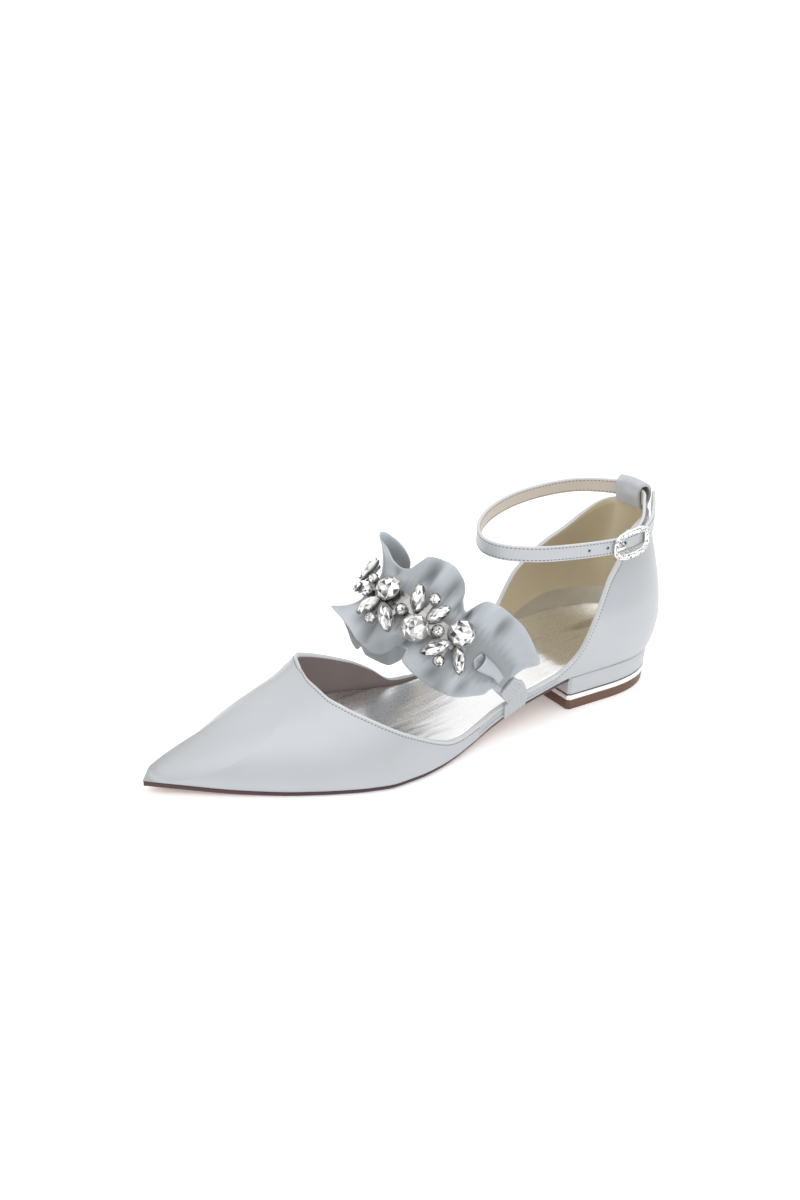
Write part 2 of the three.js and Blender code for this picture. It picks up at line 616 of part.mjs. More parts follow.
function addPiece(name, geometry, material) {
  const mesh = new THREE.Mesh(geometry, material);
  mesh.name = name;
  shoe.add(mesh);
  return mesh;
}

// Upper: one hollow wall round the whole seam, open at the collar, the sides, the throat and below.
function upperGeometry() {
  const ring = ringStations();
  const outside = WALL_LEVELS.map((level) => ring.map((station) => upperPoint(station, level, 0)));
  const inside = WALL_LEVELS.map((level) => ring.map((station) => upperPoint(station, level, WALL)));
  return solidFromRings([...outside, ...inside.reverse()], true);
}

const BREAST = HEEL_BACK + HEEL_LENGTH / SHOE_LENGTH;

// Outsole: a thin plate under the waist and forepart that ends at the heel's breast.
function soleGeometry() {
  const fore = SIDE_STATIONS.filter((along) => along > BREAST + SOLE_FROM);
  const stations = [BREAST + GAP / SHOE_LENGTH, ...fore, SOLE_TOE];
  const sections = stations.map((along) => {
    const outer = outerEdge(along) * BALL_WIDTH - SOLE_INSET;
    const inner = innerEdge(along) * BALL_WIDTH + SOLE_INSET;
    const top = seamHeight(along) - GAP;
    const bottom = Math.max(top - SOLE_THICKNESS, 0);
    const half = Math.max((outer - inner) / 2, GAP);
    const middle = (outer + inner) / 2;
    return [
      [half, bottom], [half, top], [0, top], [-half, top], [-half, bottom], [0, bottom],
    ].map(([y, z]) => new THREE.Vector3(along * SHOE_LENGTH, middle + y, z));
  });
  return solidFromRings(sections, false);
}

// The heel's outline seen from above: round at the back, straight across at the breast, with
// small corners. It narrows by a taper and grows by an overhang.
function heelOutline(taper, overhang) {
  const back = sideStations(1).slice(0, HEEL_TURNS + 1);
  const breast = BREAST * SHOE_LENGTH;
  const halves = [1, -1].map((side) => {
    const points = back.map((station) => seamPoint(station.along, side, station.turn));
    points.push(seamPoint(BREAST - HEEL_CORNER / SHOE_LENGTH, side), seamPoint(BREAST, side));
    points[points.length - 1].y -= side * HEEL_CORNER;
    return points;
  });
  const loop = [...halves[0], ...halves[1].slice(1).reverse()];
  return loop.map((point) => {
    const across = point.y * taper;
    const x = breast - (breast - point.x) * taper;
    const rim = new THREE.Vector2(x - HEEL_MIDDLE, across).setLength(overhang);
    return new THREE.Vector2(x + rim.x, across + rim.y);
  });
}

// One layer of the heel between two levels, as its taper has reached each of them.
function heelLayer(bottom, top, overhang) {
  const rings = [bottom, top].map((level) => {
    const taper = mix(HEEL_TAPER, 1, level / SEAT_HEIGHT);
    return heelOutline(taper, overhang).map((point) => new THREE.Vector3(point.x, point.y, level));
  });
  return solidFromRings(rings, false);
}

// Insole: fills the upper's foot from wall to wall, thick at the heel and waist, thin at the toe.
function insoleGeometry() {
  const pairs = sideStations(1)
    .slice(1)
    .filter((station) => station.along < INSOLE_END)
    .map((station) => station.along);
  const ring = ringStations();
  const sections = pairs.map((along, i) => {
    const thin = ease(INSOLE_THIN_FROM, INSOLE_END, along);
    const rim = SEAT_CUP * (1 - ease(CUP_FROM, CUP_RIM_TO, along));
    const edge = mix(INSOLE_THICKNESS + rim, INSOLE_TOE_THICKNESS, thin);
    const outer = ring[i + 1];
    const inner = ring[ring.length - 1 - i];
    const side = (station, height) => sidePoint(station, height, WALL + INSOLE_CLEARANCE);
    const [outerTop, innerTop] = [side(outer, edge), side(inner, edge)];
    const [outerFoot, innerFoot] = [side(outer, 0), side(inner, 0)];
    const dip = SEAT_CUP * (1 - ease(CUP_FROM, CUP_TO, along));
    const across = (share) => outerTop.clone().lerp(innerTop, share).add(new THREE.Vector3(0, 0, -dip));
    const cup = [CUP_SIDE, 0.5, 1 - CUP_SIDE].map(across);
    return [outerFoot, outerTop, ...cup, innerTop, innerFoot];
  });
  return solidFromRings(sections, false);
}

// A closed solid from two grids of points that face each other, such as a strap or a sheet.
function sheetSolid(front, back) {
  const [rows, columns] = [front.length, front[0].length];
  const positions = [...front.flat(), ...back.flat()].flatMap((point) => [point.x, point.y, point.z]);
  const at = (face, r, c) => (face * rows + r) * columns + c;
  const faces = [];
  const quad = (a, b, c, d) => faces.push(a, b, c, a, c, d);
  const [bottom, right] = [rows - 1, columns - 1];
  for (let r = 0; r < bottom; r++) {
    for (let c = 0; c < right; c++) {
      quad(at(0, r, c), at(0, r, c + 1), at(0, r + 1, c + 1), at(0, r + 1, c));
      quad(at(1, r, c), at(1, r + 1, c), at(1, r + 1, c + 1), at(1, r, c + 1));
    }
    quad(at(0, r, 0), at(0, r + 1, 0), at(1, r + 1, 0), at(1, r, 0));
    quad(at(0, r, right), at(1, r, right), at(1, r + 1, right), at(0, r + 1, right));
  }
  for (let c = 0; c < right; c++) {
    quad(at(0, 0, c), at(1, 0, c), at(1, 0, c + 1), at(0, 0, c + 1));
    quad(at(0, bottom, c), at(0, bottom, c + 1), at(1, bottom, c + 1), at(1, bottom, c));
  }
  const geometry = new THREE.BufferGeometry();
  geometry.setAttribute("position", new THREE.Float32BufferAttribute(positions, 3));
  geometry.setIndex(faces);
  return outward(geometry);
}

// A smooth route through points, with its frame at any distance along it: the way it runs, the
// way across its face and the way out of its face, which may lean by degrees at each point.
function makeRoute(points, sideways, leans = points.map(() => 0)) {
  const curve = new THREE.CatmullRomCurve3(points, false, "centripetal");
  curve.arcLengthDivisions = 600;
  const length = curve.getLength();
  const leanRows = leans.map((lean, i) => ({ at: i / (leans.length - 1), lean }));
  const leanAt = columnCurve(leanRows, "lean");
  const frame = (distance) => {
    const share = Math.min(Math.max(distance / length, 0), 1);
    const run = curve.getTangentAt(share);
    const upright = run.clone().cross(sideways).normalize();
    const out = upright.applyAxisAngle(run, -radians(leanAt(curve.getUtoTmapping(share))));
    return { point: curve.getPointAt(share), run, out, across: out.clone().cross(run) };
  };
  return { length, frame };
}

// A point beside a route: across its face and out of it.
function besideRoute(frame, across, out) {
  return frame.point.clone().addScaledVector(frame.across, across).addScaledVector(frame.out, out);
}

// A strap along a route, of a width that may change along it.
function strapGeometry(route, steps, widthAt, thickness) {
  const face = (out) =>
    Array.from({ length: steps + 1 }, (_, i) => {
      const frame = route.frame((route.length * i) / steps);
      const half = widthAt(i / steps) / 2;
      return [-half, half].map((across) => besideRoute(frame, across, out));
    });
  return sheetSolid(face(thickness / 2), face(-thickness / 2));
}

// A joined or cut solid made a plain geometry again, and a geometry made a solid for that.
function toSolid(geometry) {
  const plain = new THREE.BufferGeometry();
  plain.setAttribute("position", geometry.attributes.position);
  plain.setIndex(geometry.index);
  const merged = mergeVertices(plain, 1e-4);
  const vertProperties = new Float32Array(merged.attributes.position.array);
  return new wasm.Manifold(
    new wasm.Mesh({ numProp: 3, vertProperties, triVerts: new Uint32Array(merged.index.array) }),
  );
}

function fromSolid(solid) {
  const mesh = solid.getMesh();
  const geometry = new THREE.BufferGeometry();
  geometry.setAttribute("position", new THREE.BufferAttribute(mesh.vertProperties, 3));
  geometry.setIndex(new THREE.BufferAttribute(mesh.triVerts, 1));
  return geometry;
}

// The ankle strap's route, seated over the counter's back edge.
function ankleRoute() {
  const seat = SEAT_HEIGHT + COUNTER_HEIGHT + 2 * GAP + STRAP_HEIGHT / 2;
  const points = ANKLE_ROWS.map((row) => {
    const height = seat + row.rise * STRAP_HEIGHT;
    return new THREE.Vector3(row.along * SHOE_LENGTH, row.across * BALL_WIDTH, height);
  });
  return makeRoute(points, new THREE.Vector3(0, 0, 1), ANKLE_ROWS.map((row) => row.lean));
}

// The buckle's place: where the tail passes over the bar that the strap's other end holds.
function bucklePlace(route) {
  const end = route.frame(0);
  let best = route.length * TAIL_FROM;
  for (let distance = best; distance < route.length; distance += SEARCH_STEP) {
    const near = (place) => route.frame(place).point.distanceTo(end.point);
    if (near(distance) < near(best)) best = distance;
  }
  return best - BAR_RADIUS - GAP;
}

// A round pin along points that lie in one plane, whose normal is the side.
function pinGeometry(points, radius, side) {
  const rings = points.map((point, i) => {
    const before = points[Math.max(i - 1, 0)];
    const after = points[Math.min(i + 1, points.length - 1)];
    const away = side.clone().cross(after.clone().sub(before)).normalize();
    return Array.from({ length: PIN_SIDES }, (_, k) => {
      const turn = (2 * Math.PI * k) / PIN_SIDES;
      return point
        .clone()
        .addScaledVector(side, Math.cos(turn) * radius)
        .addScaledVector(away, Math.sin(turn) * radius);
    });
  });
  return solidFromRings(rings, false);
}

// Ankle strap, with a hole for the prong and punched ones ahead of it.
function ankleStrapGeometry(route, buckleAt) {
  const tip = (share) => Math.max(share - TAIL_TIP, 0) / (1 - TAIL_TIP);
  const width = (share) => STRAP_HEIGHT * mix(1, TAIL_WIDTH, tip(share));
  const holes = [0, 1, 2].map((number) => {
    const { point, out } = route.frame(buckleAt - PRONG_AHEAD - number * HOLE_PITCH);
    const radius = number === 0 ? PRONG_HOLE : PUNCHED_HOLE;
    const punch = new THREE.CylinderGeometry(radius, radius, STRAP_THICKNESS * 2, 10);
    punch.applyQuaternion(new THREE.Quaternion().setFromUnitVectors(new THREE.Vector3(0, 1, 0), out));
    return toSolid(punch.translate(point.x, point.y, point.z));
  });
  const strap = toSolid(strapGeometry(route, ANKLE_STEPS, width, STRAP_THICKNESS));
  return fromSolid(holes.reduce((whole, hole) => whole.subtract(hole), strap));
}

// How far a piece beside the buckle's strap lies out of its middle.
const RIM_OUT = STRAP_THICKNESS / 2 + GAP + RIM_THICKNESS / 2;
const BAR_OUT = -(STRAP_THICKNESS / 2 + GAP + BAR_RADIUS);

// Buckle frame: a rim with round corners that bends with the strap, and a bar behind the strap.
function buckleGeometry(route, buckleAt) {
  const place = (ahead, across, out) => besideRoute(route.frame(buckleAt - ahead), across, out);
  const [long, high] = [(BUCKLE_LENGTH - RIM_WIDTH) / 2, (BUCKLE_HEIGHT - RIM_WIDTH) / 2];
  const rings = Array.from({ length: RIM_STEPS }, (_, i) => {
    const turn = (2 * Math.PI * i) / RIM_STEPS;
    const corner = (value) => Math.sign(value) * Math.abs(value) ** (2 / RIM_POWER);
    const [ahead, across] = [corner(Math.cos(turn)) * long, corner(Math.sin(turn)) * high];
    const way = new THREE.Vector2(Math.cos(turn) / long, Math.sin(turn) / high).normalize();
    return RIM_ROWS.map((row) => {
      const shift = (row.side * RIM_WIDTH) / 2;
      const out = RIM_OUT + (row.out * RIM_THICKNESS) / 2;
      return place(ahead + way.x * shift, across + way.y * shift, out);
    });
  });
  const reach = high - RIM_WIDTH / 4;
  const drop = RIM_WIDTH / 4;
  const half = [place(0, reach, RIM_OUT), place(0, reach, BAR_OUT + drop), place(0, reach - drop, BAR_OUT)];
  const other = [place(0, drop - reach, BAR_OUT), place(0, -reach, BAR_OUT + drop), place(0, -reach, RIM_OUT)];
  const bar = pinGeometry([...half, ...other], BAR_RADIUS, route.frame(buckleAt).run);
  return fromSolid(toSolid(solidFromRings(rings, true)).add(toSolid(bar)));
}

// Prong: from beside the bar up through the strap's hole, over it to the front rim.
function prongGeometry(route, buckleAt) {
  const top = RIM_OUT + RIM_THICKNESS / 2 + GAP + PRONG_RADIUS;
  const places = [
    [BAR_RADIUS + GAP + PRONG_RADIUS, BAR_OUT + BAR_RADIUS / 2],
    [PRONG_AHEAD - PRONG_RADIUS, BAR_OUT + BAR_RADIUS],
    [PRONG_AHEAD + PRONG_RADIUS / 2, STRAP_THICKNESS / 2 + PRONG_RADIUS],
    [BUCKLE_LENGTH / 2 - RIM_WIDTH, top],
    [BUCKLE_LENGTH / 2, top],
  ];
  const points = places.map(([ahead, out]) => besideRoute(route.frame(buckleAt - ahead), 0, out));
  return pinGeometry(points, PRONG_RADIUS, route.frame(buckleAt - PRONG_AHEAD).across);
}

// The station of the heel's round whose foot lies at a distance across the shoe.
function backStation(across) {
  const side = Math.sign(across) || 1;
  const width = Math.abs(side > 0 ? outerEdge(HEEL_BACK) : innerEdge(HEEL_BACK)) * BALL_WIDTH;
  const turn = Math.asin(Math.min(Math.abs(across) / width, 1) ** (HEEL_POWER / 2));
  const depth = (HEEL_ROUND - HEEL_BACK) * SHOE_LENGTH;
  const bend = 2 - 2 / HEEL_POWER;
  const out = new THREE.Vector2(-(Math.cos(turn) ** bend) / depth, (side * Math.sin(turn) ** bend) / width);
  const along = heelAlong(turn);
  return { along, side, turn, foot: seamPoint(along, side, turn), out: out.normalize() };
}

// Heel loop: a folded band that saddles the counter's edge and leaves room for the strap.
function heelLoopGeometry() {
  const room = STRAP_HEIGHT + 2 * GAP + LOOP_SLACK;
  const half = STRAP_THICKNESS / 2 + GAP + LOOP_SLACK;
  const columns = Array.from({ length: LOOP_STATIONS }, (_, i) => {
    const across = LOOP_ACROSS * BALL_WIDTH + LOOP_WIDTH * (i / (LOOP_STATIONS - 1) - 0.5);
    const station = backStation(across);
    const top = collar[across > 0 ? "outer" : "inner"](station.along) * COUNTER_HEIGHT;
    const middle = counterPoint(station, top, WALL / 2);
    const away = (point) =>
      (point.x - middle.x) * station.out.x + (point.y - middle.y) * station.out.y;
    const onWall = (height, inset) => {
      const point = counterPoint(station, height, inset);
      return new THREE.Vector2(away(point), point.z - middle.z);
    };
    const seat = GAP + SEAT_HEIGHT + COUNTER_HEIGHT - middle.z;
    const path = [
      onWall(top - LOOP_INNER_LEG, WALL + GAP),
      onWall(top, WALL + GAP),
      ...LOOP_ROWS.map((row) => new THREE.Vector2(row.away * half, seat + row.rise * room)),
      onWall(top, -GAP),
      onWall(top - LOOP_LEG, -GAP),
    ];
    return path.map((point, k) => {
      const way = path[Math.min(k + 1, path.length - 1)].clone().sub(path[Math.max(k - 1, 0)]).normalize();
      const place = (shift) => {
        const [a, rise] = [point.x - way.y * shift, point.y + way.x * shift];
        return new THREE.Vector3(middle.x + station.out.x * a, middle.y + station.out.y * a, middle.z + rise);
      };
      return { inside: place(0), outside: place(LOOP_THICKNESS) };
    });
  });
  const face = (name) => columns[0].map((_, k) => columns.map((column) => column[k][name]));
  return sheetSolid(face("outside"), face("inside"));
}

// A station on the side of the waist, with the way out of the shoe there.
function waistStation(along, side) {
  const step = 0.004;
  const way = seamPoint(along + step, side).sub(seamPoint(along - step, side));
  const out = new THREE.Vector2(-way.y, way.x).normalize().multiplyScalar(side);
  return { along, side, turn: Math.PI / 2, foot: seamPoint(along, side), out };
}

// The instep strap's route: from the edge of one waist strip over the instep to the other.
function instepRoute() {
  const lean = radians(INSTEP_LEAN);
  const dip = (INSTEP_WIDTH / 2) * Math.sin(lean);
  const end = (name, side) =>
    sidePoint(waistStation(INSTEP_AT[name], side), WAIST_STRIP_HEIGHT + GAP + dip, WALL / 2);
  const over = INSTEP_ROWS.map((row) => {
    const height = row.rise * INSTEP_HEIGHT;
    return new THREE.Vector3(row.along * SHOE_LENGTH, row.across * BALL_WIDTH, height);
  });
  const sideways = new THREE.Vector3(Math.cos(lean), 0, -Math.sin(lean));
  return makeRoute([end("outer", 1), ...over, end("inner", -1)], sideways);
}

// A ribbed tab: over the outside of the waist strip and on up the strap's outer face.
function tabGeometry(route, side) {
  const offset = (c) => c / (TAB_COLUMNS - 1) - 0.5;
  const rib = (c) => (c % 2) * RIB_DEPTH;
  const at = INSTEP_AT[side > 0 ? "outer" : "inner"];
  const foot = TAB_FOOT_ROWS.map((row) =>
    Array.from({ length: TAB_COLUMNS }, (_, c) => {
      const station = waistStation(at + (offset(c) * row.width * TAB_WIDTH) / SHOE_LENGTH, side);
      const place = (out) => sidePoint(station, row.height * WAIST_STRIP_HEIGHT, -out);
      return [place(GAP + TAB_THICKNESS + rib(c)), place(GAP)];
    }),
  );
  const above = TAB_STRAP_ROWS.map((row) => {
    const up = row.up * TAB_WIDTH;
    const frame = route.frame(side > 0 ? up : route.length - up);
    return Array.from({ length: TAB_COLUMNS }, (_, c) => {
      const across = offset(c) * row.width * TAB_WIDTH;
      const base = INSTEP_THICKNESS / 2 + GAP;
      return [besideRoute(frame, across, base + TAB_THICKNESS + rib(c)), besideRoute(frame, across, base)];
    });
  });
  const rows = [...foot, ...above];
  const face = (layer) => rows.map((row) => row.map((pair) => pair[layer]));
  return sheetSolid(face(0), face(1));
}

// How far pieces on the instep strap's face lie out of its middle.
const RUFFLE_OUT = INSTEP_THICKNESS / 2 + GAP;
const BASE_OUT = RUFFLE_OUT + RUFFLE_THICKNESS + GAP;
const SETTING_OUT = BASE_OUT + BASE_THICKNESS + SPINE_HEIGHT;

// Ruffle: a frill flat along the strap's middle whose two free edges run in folds.
function ruffleGeometry(route) {
  const edges = [RUFFLE_REAR_ROWS, RUFFLE_FRONT_ROWS].map((rows) => ({
    reach: columnCurve(rows, "reach"),
    lift: columnCurve(rows, "lift"),
    lean: columnCurve(rows, "lean"),
  }));
  const margin = TAB_WIDTH * TAB_STRAP_ROWS[TAB_STRAP_ROWS.length - 1].up + 3 * GAP;
  const middle = Array.from({ length: RUFFLE_STEPS + 1 }, (_, i) => {
    const share = i / RUFFLE_STEPS;
    const frame = route.frame(mix(margin, route.length - margin, share));
    return Array.from({ length: 2 * RUFFLE_COLUMNS + 1 }, (_, c) => {
      const side = Math.sign(c - RUFFLE_COLUMNS);
      const edge = edges[side < 0 ? 0 : 1];
      const free = (Math.abs(c - RUFFLE_COLUMNS) - 1) / (RUFFLE_COLUMNS - 1);
      const reach = edge.reach(share) * RUFFLE_REACH;
      const across = side * mix(Math.min(RUFFLE_FLAT, reach / 2), reach, free);
      const rise = Math.max(free, 0) ** RUFFLE_CURVE * edge.lift(share) * RUFFLE_REACH;
      const shift = Math.max(free, 0) ** RUFFLE_CURVE * edge.lean(share) * RUFFLE_REACH;
      const out = RUFFLE_OUT + RUFFLE_THICKNESS / 2 + rise;
      return besideRoute(frame, across, out).addScaledVector(frame.run, shift);
    });
  });
  const normal = (i, c) => {
    const [up, down] = [middle[Math.max(i - 1, 0)][c], middle[Math.min(i + 1, RUFFLE_STEPS)][c]];
    const row = middle[i];
    const [left, right] = [row[Math.max(c - 1, 0)], row[Math.min(c + 1, row.length - 1)]];
    return down.clone().sub(up).cross(right.clone().sub(left)).normalize();
  };
  const face = (side) =>
    middle.map((row, i) =>
      row.map((point, c) => point.clone().addScaledVector(normal(i, c), (side * RUFFLE_THICKNESS) / 2)),
    );
  return sheetSolid(face(1), face(-1));
}

// A stone's outline: a circle, or a leaf of two arcs.
function stoneOutline(row, scale, count) {
  const narrow = row.kind === "leaf" ? LEAF_POWER : 1;
  const turn = radians(row.turn);
  return Array.from({ length: count }, (_, k) => {
    const angle = (2 * Math.PI * (k + 0.5 * (row.kind === "leaf" ? 0 : 1))) / count;
    const swell = Math.sign(Math.sin(angle)) * Math.abs(Math.sin(angle)) ** narrow;
    const place = new THREE.Vector2(Math.cos(angle) * row.length, swell * row.width);
    return place.multiplyScalar(scale / 2).rotateAround(new THREE.Vector2(), turn).toArray();
  });
}

// A closed form over a stone's place, from outline scales at distances out of the strap.
function stoneForm(route, row, count, layers) {
  const frame = route.frame(row.at * route.length);
  const rings = layers.map((layer) =>
    stoneOutline(row, layer.scale, count).map(([along, across]) =>
      besideRoute(frame, row.ahead * INSTEP_WIDTH + across, layer.out).addScaledVector(frame.run, along),
    ),
  );
  return solidFromRings(rings, false);
}

// Jewel base: a metal band along the strap with a setting under each stone.
function jewelBaseGeometry(route) {
  const places = STONE_ROWS.map((row) => row.at);
  const [from, to] = [Math.min(...places), Math.max(...places)].map((share) => share * route.length);
  const layer = (width, bottom, top) => {
    const face = (out) =>
      Array.from({ length: BASE_STEPS + 1 }, (_, i) => {
        const frame = route.frame(mix(from, to, i / BASE_STEPS));
        return [-width / 2, width / 2].map((across) => besideRoute(frame, across, out));
      });
    return toSolid(sheetSolid(face(top), face(bottom)));
  };
  const arm = (row) => {
    const frame = route.frame(row.at * route.length);
    const face = (lower) =>
      [0, row.ahead * INSTEP_WIDTH].map((across, end) => {
        const out = SETTING_OUT - ARM_WIDTH / 2 + end * row.up * STONE_DEPTH - lower;
        return [-ARM_WIDTH / 2, ARM_WIDTH / 2].map((along) =>
          besideRoute(frame, across, out).addScaledVector(frame.run, along),
        );
      });
    return toSolid(sheetSolid(face(0), face(ARM_WIDTH / 2)));
  };
  const setting = (row) => {
    const top = SETTING_OUT + row.up * STONE_DEPTH;
    const layers = [
      { scale: SETTING_FOOT, out: top - SETTING_HEIGHT },
      { scale: SETTING_RIM, out: top },
    ];
    return toSolid(stoneForm(route, row, SETTING_SIDES, layers));
  };
  const band = layer(BASE_WIDTH, BASE_OUT, BASE_OUT + BASE_THICKNESS);
  const spine = layer(BASE_WIDTH / 2, BASE_OUT + BASE_THICKNESS / 2, SETTING_OUT - SETTING_HEIGHT / 2);
  return fromSolid(
    STONE_ROWS.reduce((whole, row) => whole.add(setting(row)).add(arm(row)), band.add(spine)),
  );
}

// A cut stone over its setting: a tapering foot, a girdle and a flat-topped crown.
function stoneGeometry(route, row) {
  const depth = STONE_DEPTH * (row.kind === "small" ? SMALL_DEPTH : 1);
  const foot = SETTING_OUT + row.up * STONE_DEPTH + GAP;
  const layers = STONE_LAYERS.map(({ scale, level }) => ({ scale, out: foot + level * depth }));
  return stoneForm(route, row, row.kind === "small" ? SMALL_SIDES : STONE_SIDES, layers);
}

addPiece("upper", upperGeometry(), materials.satin);
addPiece("insole", insoleGeometry(), materials.sock);
addPiece("outsole", soleGeometry(), materials.sole);
addPiece("heel_lift", heelLayer(0, LIFT_HEIGHT, 0), materials.lift);
addPiece("heel_band", heelLayer(LIFT_HEIGHT, LIFT_HEIGHT + BAND_HEIGHT, BAND_PROUD), materials.silver);
addPiece("heel_block", heelLayer(LIFT_HEIGHT + BAND_HEIGHT, SEAT_HEIGHT - GAP, 0), materials.satin);

const ankle = ankleRoute();
const buckleAt = bucklePlace(ankle);
addPiece("ankle_strap", ankleStrapGeometry(ankle, buckleAt), materials.satin);
addPiece("heel_loop", heelLoopGeometry(), materials.satin);
addPiece("buckle_frame", buckleGeometry(ankle, buckleAt), materials.silver);
addPiece("buckle_prong", prongGeometry(ankle, buckleAt), materials.silver);

const instep = instepRoute();
const instepStrap = strapGeometry(instep, INSTEP_STEPS, () => INSTEP_WIDTH, INSTEP_THICKNESS);
addPiece("instep_strap", instepStrap, materials.satin);
addPiece("strap_tab_outer", tabGeometry(instep, 1), materials.satin);
addPiece("strap_tab_inner", tabGeometry(instep, -1), materials.satin);
addPiece("ruffle", ruffleGeometry(instep), materials.satin);
addPiece("jewel_base", jewelBaseGeometry(instep), materials.claw);
STONE_ROWS.forEach((row, number) => {
  addPiece(`stone_${row.kind}_${number + 1}`, stoneGeometry(instep, row), materials.stone);
});

shoe.position.x = -HEEL_MIDDLE;

export default shoe;
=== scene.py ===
"""Looks of a pointed satin flat for the left foot.

The shoe has a pointed vamp, an open waist, a tall counter over a low block heel, an ankle strap
with a stone-set buckle and an instep strap that carries a ruffle and cut stones. Sizes are in
millimetres, lengths along the shoe are measured from the back of the counter, and every mesh is
made in place, in metres.
"""

import logging
import math
import random
from dataclasses import dataclass, field
from enum import Enum
from typing import Callable, Iterable, Sequence

import bmesh
import bpy
from mathutils import Matrix, Quaternion, Vector


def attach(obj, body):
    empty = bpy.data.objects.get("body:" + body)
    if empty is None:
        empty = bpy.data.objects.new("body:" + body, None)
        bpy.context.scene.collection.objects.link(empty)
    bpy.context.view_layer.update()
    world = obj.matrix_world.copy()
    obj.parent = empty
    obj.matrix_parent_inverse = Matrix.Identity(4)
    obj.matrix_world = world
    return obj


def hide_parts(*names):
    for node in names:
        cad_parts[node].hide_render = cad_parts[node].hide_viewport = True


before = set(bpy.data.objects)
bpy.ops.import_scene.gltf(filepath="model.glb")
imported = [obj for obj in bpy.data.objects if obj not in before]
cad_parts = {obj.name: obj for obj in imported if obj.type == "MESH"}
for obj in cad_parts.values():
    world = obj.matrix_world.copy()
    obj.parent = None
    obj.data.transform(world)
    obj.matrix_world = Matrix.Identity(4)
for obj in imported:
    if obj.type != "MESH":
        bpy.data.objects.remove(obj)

LOG = logging.getLogger("shoe")
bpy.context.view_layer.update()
MM = 0.001
GAP = 0.3

SHOE_LENGTH = 246.5
BALL_WIDTH = 79.0
VAMP_HEIGHT = 40.0
SEAT_HEIGHT = 16.1
COUNTER_HEIGHT = 61.0
WAIST_STRIP_HEIGHT = 6.0
WALL = 1.6
TOE_FILL = 7.0
HEEL_LENGTH = 55.5
HEEL_BACK = 0.016
HEEL_ROUND = 0.145
HEEL_POWER = 2.4
HEEL_MIDDLE = HEEL_BACK * SHOE_LENGTH + HEEL_LENGTH / 2
BREAST = HEEL_BACK + HEEL_LENGTH / SHOE_LENGTH
SIDE_FULLNESS = 2.3
CROWN_FULLNESS = 1.9
INNER_SIDE_FULLNESS = 1.85
INNER_CROWN_FULLNESS = 1.5
FLAT_FROM = 0.62
FLAT_TO = 0.74
TOE_FROM = 0.75
WAIST_FROM = 0.308
WAIST_TO = 0.41
VAMP_FROM = 0.44
STRAP_HEIGHT = 7.0
STRAP_THICKNESS = 1.4
INSTEP_HEIGHT = 60.0
INSTEP_WIDTH = 10.0
INSTEP_THICKNESS = 1.6
INSTEP_LEAN = 38.0


class Table:
    """A short table with named columns that reads as smooth curves over its first column."""

    def __init__(self, names: str, *rows: Sequence[float]) -> None:
        """Keep the rows under their names.

        Args:
            names: the columns' names, parted by spaces.
            rows: one tuple of numbers for each row.
        """
        self.names = names.split()
        self.rows = [dict(zip(self.names, row)) for row in rows]

    def column(self, name: str) -> list[float]:
        """Return one column's numbers."""
        return [row[name] for row in self.rows]

    def curve(self, name: str) -> Callable[[float], float]:
        """Return a curve through a column that never swings past its rows.

        Args:
            name: the column that the curve reads.

        Returns:
            A function of the first column's value.
        """
        x, y = self.column(self.names[0]), self.column(name)
        slopes = [(b - a) / (q - p) for a, b, p, q in zip(y, y[1:], x, x[1:])]
        tangents = [slopes[0]]
        for a, b in zip(slopes, slopes[1:]):
            tangents.append(0.0 if a * b <= 0 else 2 * a * b / (a + b))
        tangents.append(slopes[-1])

        def read(at: float) -> float:
            """Return the curve's value at a place.

            Args:
                at: the place on the curve.

            Returns:
                The value.
            """
            at = min(max(at, x[0]), x[-1])
            i = next((k for k in range(1, len(x) - 1) if x[k] >= at), len(x) - 1) - 1
            span = x[i + 1] - x[i]
            t = (at - x[i]) / span
            value = y[i] * (1 + 2 * t) * (1 - t) ** 2 + tangents[i] * span * t * (1 - t) ** 2
            return value + y[i + 1] * t * t * (3 - 2 * t) + tangents[i + 1] * span * t * t * (t - 1)

        return read


SEAM = Table(
    "at outer inner height",
    (0.016, 0.32, -0.318, 1), (0.145, 0.322, -0.32, 1), (0.213, 0.318, -0.316, 1),
    (0.243, 0.313, -0.31, 1), (0.285, 0.306, -0.3, 0.87), (0.346, 0.307, -0.28, 0.67),
    (0.408, 0.333, -0.268, 0.46), (0.468, 0.382, -0.305, 0.27), (0.513, 0.424, -0.373, 0.18),
    (0.553, 0.457, -0.437, 0.149), (0.598, 0.48, -0.489, 0.143), (0.643, 0.484, -0.516, 0.143),
    (0.688, 0.449, -0.519, 0.143), (0.732, 0.389, -0.503, 0.143), (0.793, 0.284, -0.45, 0.143),
    (0.875, 0.115, -0.356, 0.19), (0.955, -0.07, -0.25, 0.3), (0.986, -0.142, -0.206, 0.35),
    (1, -0.176, -0.178, 0.375),
)
RIDGE = Table(
    "at height across",
    (0.273, 1.95, -0.03), (0.408, 1.75, -0.05), (0.533, 1.48, -0.09), (0.626, 1.19, -0.13),
    (0.709, 0.87, -0.155), (0.792, 0.695, -0.165), (0.876, 0.545, -0.17), (0.948, 0.4, -0.172),
    (0.986, 0.29, -0.175), (1, 0.21, -0.177),
)
COUNTER = Table(
    "at back side",
    (0, 0, 0), (0.13, 0.045, 0.036), (0.28, 0.062, 0.058), (0.42, 0.054, 0.05),
    (0.56, 0.043, 0.008), (0.7, 0.028, -0.06), (0.84, 0.003, -0.135), (1, -0.03, -0.21),
)
